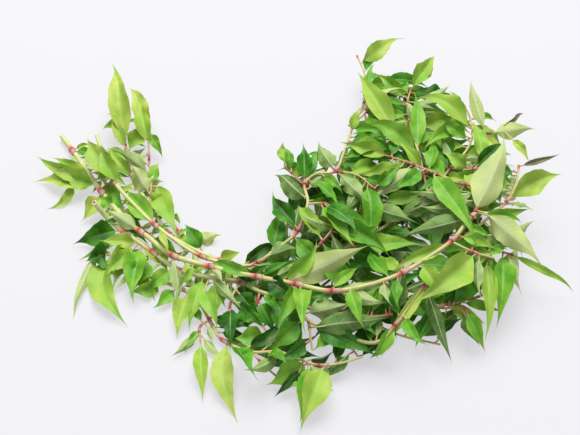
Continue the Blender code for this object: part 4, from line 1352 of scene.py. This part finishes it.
def grown(name: str, threads: list[Thread], tree: bpy.types.NodeTree,
          given: dict[str, Any], shift: Vector) -> bpy.types.Object:
    """Run a geometry tree on threads and keep the result as a plain mesh.

    Args:
        name: The piece's name.
        threads: What the tree sweeps along.
        tree: The tree.
        given: Value of each named input that isn't left as it is.
        shift: From the routes' frame to the part's, in mm.

    Returns:
        The piece, with no modifier on it.
    """
    obj = thread_object(name, threads)
    modifier = obj.modifiers.new("grow", "NODES")
    modifier.node_group = tree
    for item in tree.interface.items_tree:
        if item.item_type == "SOCKET" and item.in_out == "INPUT" and item.name in given:
            modifier[item.identifier] = given[item.name]
    graph = bpy.context.evaluated_depsgraph_get()
    mesh = bpy.data.meshes.new_from_object(obj.evaluated_get(graph))
    obj.modifiers.remove(modifier)
    obj.data = mesh
    mesh.name = name
    height = np.empty(len(mesh.vertices) * 3, np.float32)
    mesh.vertices.foreach_get("co", height)
    places = height.reshape(-1, 3) + np.array(shift) * MM
    places[:, 2] = np.maximum(places[:, 2], 0.0)
    mesh.vertices.foreach_set("co", places.ravel())
    mesh.update()
    return obj


def unit(rows: np.ndarray) -> np.ndarray:
    """Each row scaled to length 1."""
    return rows / np.maximum(np.linalg.norm(rows, axis=-1, keepdims=True), 1e-9)


def run_along(line: np.ndarray) -> np.ndarray:
    """How far along a line each of its points is."""
    return np.concatenate([[0.0], np.cumsum(np.linalg.norm(np.diff(line, axis=0), axis=1))])


def smooth_line(route: tuple[Point, ...], per_span: int) -> np.ndarray:
    """The route as a smooth curve through all its points.

    Args:
        route: Points in millimetres.
        per_span: Steps between two of them.

    Returns:
        The curve's points, one row each.
    """
    knots = np.array(route, float)
    ends = np.vstack([2 * knots[0] - knots[1], knots, 2 * knots[-1] - knots[-2]])
    t = np.linspace(0, 1, per_span, endpoint=False)[:, None]
    spans = [0.5 * (2 * b + (c - a) * t + (2 * a - 5 * b + 4 * c - d) * t ** 2
                    + (3 * b - a - 3 * c + d) * t ** 3)
             for a, b, c, d in zip(ends, ends[1:], ends[2:], ends[3:])]
    return np.vstack([*spans, knots[-1:]])


@dataclass
class StemLine:
    """A stem or side shoot as a smooth line, with the joints that leaves grow from."""

    shoot: Shoot
    side: bool
    step: float = 1.0
    span_steps: int = 24
    joint_merge: float = 24.0
    shoot_joint_merge: float = 13.0
    swell_reach: float = 1.9
    swell_share: float = 0.36
    slim: float = 0.84

    def __post_init__(self) -> None:
        """Smooth the route and find the places of its joints."""
        shoot, per_span = self.shoot, self.span_steps
        fine = smooth_line(shoot.route, per_span)
        reach = run_along(fine)
        self.reach = np.linspace(0.0, reach[-1], int(reach[-1] / self.step) + 2)
        self.points = np.column_stack([np.interp(self.reach, reach, fine[:, i]) for i in range(3)])
        self.tangents = unit(np.gradient(self.points, axis=0))
        self.radius = np.interp(self.reach, reach[::per_span],
                                np.linspace(shoot.radius, shoot.tip_radius, len(shoot.route)))
        self.joints = [float(reach[i * per_span]) for i in shoot.joints]

    def nearest(self, point: Vector) -> tuple[float, int]:
        """Distance from a point to the line, and the index of the line's nearest point."""
        far = np.linalg.norm(self.points - np.array(point), axis=1)
        return float(far.min()), int(far.argmin())

    def add_joint(self, at: float) -> None:
        """Put a joint at a distance along the line, unless one is close by."""
        merge = self.shoot_joint_merge if self.side else self.joint_merge
        if all(abs(at - joint) > merge for joint in self.joints):
            self.joints.append(at)

    def near_joint(self, spread: float) -> np.ndarray:
        """How near each point is to a joint: 1 at it, falling off over the spread in mm."""
        far_off = self.reach + NO_JOINT
        gaps = np.min([np.abs(self.reach - joint) for joint in self.joints] or [far_off], axis=0)
        return np.exp(-(gaps / spread) ** 2)

    def girth(self) -> np.ndarray:
        """The radius at each point, in mm, with the swollen joints."""
        return self.slim * self.radius * (1 + self.swell_share * self.near_joint(self.swell_reach))

    def at(self, reach: np.ndarray, column: np.ndarray) -> np.ndarray:
        """Values at given distances along the line, from one for each of its points."""
        if column.ndim == 1:
            return np.interp(reach, self.reach, column)
        return np.column_stack([np.interp(reach, self.reach, part) for part in column.T])


@dataclass
class Piece:
    """What each piece of a stem is built with."""

    name: str
    finishes: Finishes
    shift: Vector


@dataclass
class LeafBlades(Piece):
    """The blades on one stem: drawn-out lance shapes with a folded, waved surface."""

    tree: bpy.types.NodeTree
    forms: list[BladeForm]
    stations_per_mm: float = 1.0
    fewest_stations: int = 18
    most_stations: int = 34
    rise: Pair = (1.00, 1.35)
    fall: Pair = (2.10, 3.00)
    narrow_share: float = 0.72
    fullness: float = 1.08
    blade_thickness: float = 0.35
    rib_height: float = 0.45
    fold: Pair = (0.30, 0.95)
    wave: Pair = (0.10, 0.34)
    wave_share: Pair = (0.30, 0.55)
    tip_drift: float = 0.13
    uneven: float = 0.028
    teeth: Pair = (5.0, 9.0)
    wobble: float = 0.014
    least_height: float = 0.4
    most_twist: float = 0.9
    # Painted shade: in the heap, leaves below this height in mm get a deeper green, by up to this
    # share of the run of greens.
    painted_shade_height: float = 36.0
    painted_shade_share: float = 0.46
    rim_x: float = 112.0
    rim_y: float = 75.0
    rim_tone: float = 0.60
    heap_tone: float = 0.42
    young_tone: float = 0.10
    young_length: float = 22.0
    tone_spread: float = 0.15
    told_spread: float = 0.2
    tones: Pair = (0.04, 0.95)
    worn: tuple[float, ...] = (0, 0, 0, 0.4)
    tail_start: float = 0.6
    hook_ease: float = 0.4
    twist_centre: float = 0.35
    fold_lead: float = 0.12
    foot_taper: float = 0.04
    tip_taper: float = 0.10
    rib_taper: float = 0.7
    sway: Pair = (0.8, 1.6)

    def threads(self) -> list[Thread]:
        """One thread along the midrib of each blade."""
        return [self.thread(form, random.Random(f"{self.name}{i}"))
                for i, form in enumerate(self.forms)]

    def tone(self, form: BladeForm, rng: random.Random) -> float:
        """Place of a leaf on the run of greens: low leaves in the heap deeper as painted shade,
        small young ones lighter.
        """
        drawn = rng.gauss(0.0, self.tone_spread)
        if form.tone:
            return form.tone.value + self.told_spread * drawn
        middle = (form.base + form.tip) / 2
        young = self.young_tone if (form.tip - form.base).length < self.young_length else 0.0
        on_rim = abs(middle.x) > self.rim_x or middle.y > self.rim_y
        rim = self.rim_tone if on_rim else self.heap_tone
        # Painted shade: the lower a leaf lies in the heap, the deeper its green.
        depth = max(1 - middle.z / self.painted_shade_height, 0) if middle.x > ARM_END else 0.0
        deepest, palest = self.tones
        return min(max(rim + drawn + young - self.painted_shade_share * depth, deepest), palest)

    def thread(self, form: BladeForm, rng: random.Random) -> Thread:
        """The midrib of one blade, with all that its cross-sections need.

        Args:
            form: Where the leaf is and how it bends.
            rng: The leaf's own seeded draw.

        Returns:
            The thread.
        """
        length, along, up, across = form.axes()
        stations = int(length * self.stations_per_mm)
        stations = min(max(stations, self.fewest_stations), self.most_stations)
        t = np.linspace(0.0, 1.0, stations)
        blunt = self.narrow_share if form.profile is NARROW_PROFILE else 1.0
        share = (t ** rng.uniform(*self.rise) * (1 - t) ** rng.uniform(*self.fall)) ** blunt
        half = self.fullness * form.width / 2 * share / share.max()
        half *= 1 + self.uneven * np.sin(2 * pi * (t * rng.uniform(*self.teeth) + rng.random()))
        tail = np.clip((t - self.tail_start) / 0.4, 0, 1) ** 2
        arc = 4 * t * (1 - t) * length
        hook = form.hook * length * tail * (1 - self.hook_ease * tail)
        spine = (np.array(form.base) + np.outer(t * length, along)
                 + np.outer(form.bow * arc + hook, up)
                 + np.outer(form.bend * arc, across)
                 + np.outer(tail * length * rng.uniform(-self.tip_drift, self.tip_drift), across))
        spine[:, 2] -= tail * length * rng.uniform(0.0, self.tip_drift)
        sway = np.sin(2 * pi * (t * rng.uniform(*self.sway) + rng.random())) * np.sin(pi * t)
        spine += np.outer(sway * length * self.wobble, up)
        tangent = unit(np.gradient(spine, axis=0))
        twist = rng.uniform(-self.most_twist, self.most_twist) * (t - self.twist_centre)
        side = unit(np.cross(tangent, np.array(up)))
        face = np.cross(side, tangent)
        by_cos, by_sin = np.cos(twist)[:, None], np.sin(twist)[:, None]
        turned = side * by_cos + face * by_sin
        facing = face * by_cos - side * by_sin
        open_share = np.sin(np.pi * np.clip(t + self.fold_lead, 0, 1)) ** 0.5
        fold = rng.uniform(*self.fold) * open_share
        ends = np.minimum(np.clip(t / self.foot_taper, 0, 1),
                          np.clip((1 - t) / self.tip_taper, 0, 1))
        turn = 2 * pi * (t / rng.uniform(*self.wave_share) + rng.random())
        one = np.ones(stations)
        lowest = (spine[:, 2] - np.abs(turned[:, 2]) * half
                  + np.minimum(facing[:, 2], 0) * fold * half)
        spine[:, 2] += np.maximum(self.least_height - lowest, 0)
        return Thread(spine, {
            "spine": spine * MM, "side": turned, "face": facing, "half": half * MM,
            "fold_height": fold * half * MM,
            "ripple_height": rng.uniform(*self.wave) * half * MM,
            "ripple_turn": turn, "end_share": ends,
            "rib_height": self.rib_height * MM * (1 - t) ** self.rib_taper * ends,
            # tone carries the painted shade of low leaves in the heap.
            "along": t, "blade_mm": one * length, "tone": one * self.tone(form, rng),
            "blemish": one * (1.0 if form.tone is Tone.YELLOW else rng.choice(self.worn)),
            "dried": one * (form.tone is Tone.DRY)})

    def build(self) -> bpy.types.Object:
        """Grow the blades and dress both their faces."""
        return grown(self.name, self.threads(), self.tree, {
            "Blade thickness": self.blade_thickness * MM, "Upper skin": self.finishes.upper,
            "Under skin": self.finishes.under}, self.shift)


@dataclass
class JointedStems(Piece):
    """One cut stem with its side shoots and the stalks of its leaves."""

    tree: bpy.types.NodeTree
    forms: list[BladeForm]
    plan: StemPlan
    stalk_radius: float = 0.62
    stalk_tip_radius: float = 0.22
    stalk_profile: Pair = (0.34, 0.5)
    least_slimness: float = 9.0
    stalk_under: Pair = (0.07, 0.15)
    stalk_sink: float = 0.25
    base_sink: float = 0.15
    lowest_stalk: float = 0.3
    flush: float = 0.9
    flush_reach: float = 3.4
    halo: float = 0.8
    halo_reach: float = 5.0
    shoot_red: Pair = (0.3, 0.8)
    stem_red: float = 0.3
    stalk_red: Pair = (0.2, 0.8)

    def __post_init__(self) -> None:
        """Smooth the routes and give every leaf a joint to grow from."""
        self.lines = [StemLine(shoot, i > 0) for i, shoot in enumerate(self.plan.shoots)]
        self.roots: list[tuple[StemLine, int]] = []
        for form in self.forms:
            line = min(self.lines, key=lambda one: one.nearest(form.root)[0])
            index = line.nearest(form.root)[1]
            line.add_joint(float(line.reach[index]))
            self.roots.append((line, index))

    def stem_thread(self, line: StemLine, rng: random.Random) -> Thread:
        """The centre line of one stem or shoot with its girth and its colours."""
        share = line.reach / line.reach[-1]
        if line.side:
            red = rng.uniform(*self.shoot_red) * (0.4 + 0.6 * share)
        else:
            red = self.stem_red * share ** 2
        return Thread(line.points, {
            "girth": line.girth() * MM, "run_mm": line.reach,
            "flush": self.flush * line.near_joint(self.flush_reach),
            "halo": self.halo * line.near_joint(self.halo_reach), "redness": red})

    def stalk_thread(self, form: BladeForm, root: tuple[StemLine, int],
                     rng: random.Random) -> Thread:
        """A leaf's stalk, from inside the stem to under the foot of the blade.

        Args:
            form: The leaf.
            root: The line that it grows on and the index of the point there.
            rng: The leaf's own seeded draw.

        Returns:
            The thread.
        """
        length, along, up, _ = form.axes()
        start = Vector(root[0].points[root[1]])
        under = [form.base + along * length * t
                 + up * (form.bow * 4 * t * (1 - t) * length - self.stalk_sink)
                 for t in self.stalk_under]
        route = (start, form.base - up * self.base_sink, *under)
        line = smooth_line(tuple(map(tuple, route)), 4)
        line[:, 2] = np.maximum(line[:, 2], self.lowest_stalk)
        share = np.linspace(0, 1, len(line))
        run = run_along(line)
        waist, waist_radius = self.stalk_profile
        radius = np.interp(share, (0, waist, 1),
                           (self.stalk_radius, waist_radius, self.stalk_tip_radius))
        radius = np.minimum(radius, max(form.width / self.least_slimness, self.stalk_tip_radius))
        red = rng.uniform(*self.stalk_red)
        return Thread(line, {
            "girth": radius * MM, "run_mm": run, "flush": red * np.exp(-(run / 4) ** 2),
            "halo": 0.3 * np.exp(-(run / 6) ** 2), "redness": 0.6 * red * (1 - share) ** 1.5})

    def build(self) -> bpy.types.Object:
        """Grow the stems and stalks and dress them."""
        rng = random.Random(self.name)
        threads = [self.stem_thread(line, rng) for line in self.lines]
        threads += [self.stalk_thread(form, root, rng)
                    for form, root in zip(self.forms, self.roots)]
        return grown(self.name, threads, self.tree, {"Skin": self.finishes.stem}, self.shift)


@dataclass
class Sheaths(Piece):
    """The papery sleeves that wrap a stem just above its joints."""

    tree: bpy.types.NodeTree
    lines: list[StemLine]
    length: Pair = (4.0, 6.5)
    shoot_length: Pair = (3.0, 5.0)
    start: float = -0.4
    free_end: float = 3.0
    stations: int = 6
    shoot_red: Pair = (0.3, 0.8)
    stem_red: Pair = (0.0, 0.2)
    clearance: float = 0.10
    flare: float = 0.22

    def thread(self, line: StemLine, joint: float, rng: random.Random) -> Thread:
        """The sleeve's centre line above one joint, with its radius and its colour."""
        drawn = rng.uniform(*(self.shoot_length if line.side else self.length))
        start = max(joint + self.start, 0.0)
        end = min(start + drawn, float(line.reach[-1]) + 0.1)
        reach = np.linspace(start, end, self.stations)
        share = np.linspace(0, 1, self.stations)
        points = line.at(reach, line.points)
        axis = unit(line.at(reach, line.tangents))
        red = rng.uniform(*(self.shoot_red if line.side else self.stem_red))
        return Thread(points, {
            "spine": points * MM, "axis": axis, "along": share,
            "girth": (line.at(reach, line.girth()) + self.clearance + self.flare * share) * MM,
            "redness": np.full(self.stations, red)})

    def build(self) -> bpy.types.Object:
        """Grow the sleeves with their bristles."""
        rng = random.Random(self.name)
        threads = [self.thread(line, joint, rng) for line in self.lines
                   for joint in sorted(line.joints) if joint < line.reach[-1] - self.free_end]
        return grown(self.name, threads, self.tree, {
            "Paper": self.finishes.sheath, "Hair": self.finishes.bristle}, self.shift)


@dataclass
class CutEnd(Piece):
    """The slightly domed wet face where a stem was cut."""

    line: StemLine
    sides: int = 20
    rings: tuple[float, ...] = (0.3, 0.55, 0.78, 0.93, 1.0)
    slant: float = 0.35
    dome: float = 0.22
    back_ring: float = 0.9
    depth: float = 0.6
    overhang: float = 1.01

    def build(self) -> bpy.types.Object:
        """Lay rings of points from the pith to the rim and close them behind."""
        centre = Vector(self.line.points[0])
        out = -Vector(self.line.tangents[0])
        side = out.cross(Vector((0, 0, 1))).normalized()
        up = side.cross(out)
        radius = float(self.line.girth()[0]) * self.overhang
        # The knife went through at a slant, so that the face looks up at the viewer.
        lean = (SIGHT - out * SIGHT.dot(out)).normalized() * self.slant
        middle = radius * self.slant
        points, rim = [centre + out * (middle + self.dome)], [0.0]
        for share, behind in [(ring, 0.0) for ring in self.rings] + [(self.back_ring, self.depth)]:
            for k in range(self.sides):
                turn = 2 * pi * k / self.sides
                reach = (side * cos(turn) + up * sin(turn)) * radius * share
                cut = middle - reach.dot(lean) + self.dome * (1 - share ** 2)
                points.append(centre + reach + out * (-behind if behind else cut))
                rim.append(1.0 if behind else share)
        count = len(self.rings)
        faces = [(0, 1 + k, 1 + (k + 1) % self.sides) for k in range(self.sides)]
        for ring in range(count):
            a = 1 + ring * self.sides
            b = a + self.sides
            for k in range(self.sides):
                n = (k + 1) % self.sides
                faces.append((a + k, b + k, b + n, a + n))
        last = 1 + count * self.sides
        faces.append(tuple(last + k for k in reversed(range(self.sides))))
        mesh = bpy.data.meshes.new(self.name)
        for p in points:
            p.z = max(p.z, 0.0)
        mesh.from_pydata([(p + self.shift) * MM for p in points], [], faces)
        mesh.attributes.new("rim", "FLOAT", "POINT").data.foreach_set("value", rim)
        mesh.materials.append(self.finishes.cut)
        return linked(self.name, mesh)


@dataclass
class Studio:
    """A pale floor, a bright soft sky and one large soft light, with the photo's view."""

    shift: Vector
    floor_half: float = 3.0
    floor_colour: str = "#888788"
    floor_roughness: float = 0.9
    floor_glow: float = 0.565
    floor_glow_colour: str = "#FBFAFF"
    sky_colour: str = "#FBFBFF"
    sky_strength: float = 0.42
    key_watts: float = 90.0
    key_size: float = 2.0
    key_place: Point = (0.0, 1.05, 2.4)

    def build(self) -> None:
        """Set up the floor, the light and the camera."""
        scene = bpy.context.scene
        scene.view_settings.view_transform = "Standard"
        mesh = bpy.data.meshes.new("floor")
        half = self.floor_half
        mesh.from_pydata([(-half, -half, 0), (half, -half, 0), (half, half, 0), (-half, half, 0)],
                         [], [(0, 1, 2, 3)])
        material, shader, _ = new_material("pale_matte_card")
        feed(shader, {"Base Color": linear(self.floor_colour), "Roughness": self.floor_roughness,
                      "Emission Color": linear(self.floor_glow_colour),
                      "Emission Strength": self.floor_glow})
        mesh.materials.append(material)
        linked("floor", mesh)

        world = bpy.data.worlds.new("soft_sky")
        world.use_nodes = True
        feed(world.node_tree.nodes["Background"], {"Color": linear(self.sky_colour),
                                                   "Strength": self.sky_strength})
        scene.world = world

        light = bpy.data.lights.new("key", "AREA")
        light.energy, light.size = self.key_watts, self.key_size
        key = linked("key", light)
        key.location = self.key_place
        key.rotation_euler = (-Vector(self.key_place)).to_track_quat("-Z", "Y").to_euler()

        camera = bpy.data.cameras.new("view")
        camera.lens, camera.sensor_width = VIEW_LENS, VIEW_SENSOR
        camera.clip_start = 0.01
        eye = linked("view", camera)
        target = Vector(VIEW_TARGET) + self.shift
        eye.location = (target + SIGHT * VIEW_DISTANCE) * MM
        eye.rotation_euler = (-SIGHT).to_track_quat("-Z", "Y").to_euler()
        scene.camera = eye


def keep(piece: bpy.types.Object, stem: StemPlan) -> None:
    """Say which solid a piece stands for, and report it."""
    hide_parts(stem.name)
    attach(piece, BODY)
    log.info("%s: %d faces", piece.name, len(piece.data.polygons))


def main() -> None:
    """Grow the bunch, then each stem's pieces, then set the view and the light."""
    growth = Growth(BUNCH)
    for gap, scale in EXTRA_LEAVES:
        growth.thicken(gap, scale)
    finishes = Finishes()
    blades, tubes, sleeves = blade_tree(), tube_tree(), sheath_tree()
    for stem in BUNCH:
        word = stem.name.removeprefix("stem_")
        forms = growth.blades[stem.name]
        given = (finishes, growth.shift)
        stems = JointedStems(f"{word}_stems", *given, tubes, forms, stem)
        keep(stems.build(), stem)
        keep(LeafBlades(f"{word}_leaves", *given, blades, forms).build(), stem)
        keep(Sheaths(f"{word}_sheaths", *given, sleeves, stems.lines).build(), stem)
        slant = STEEP_CUT if stem is STEM_THICK else CutEnd.slant
        keep(CutEnd(f"{word}_cut_end", *given, stems.lines[0], slant=slant).build(), stem)
    Studio(growth.shift).build()


if __name__ == "__main__":
    logging.basicConfig(level=logging.INFO, format="%(message)s")
    main()
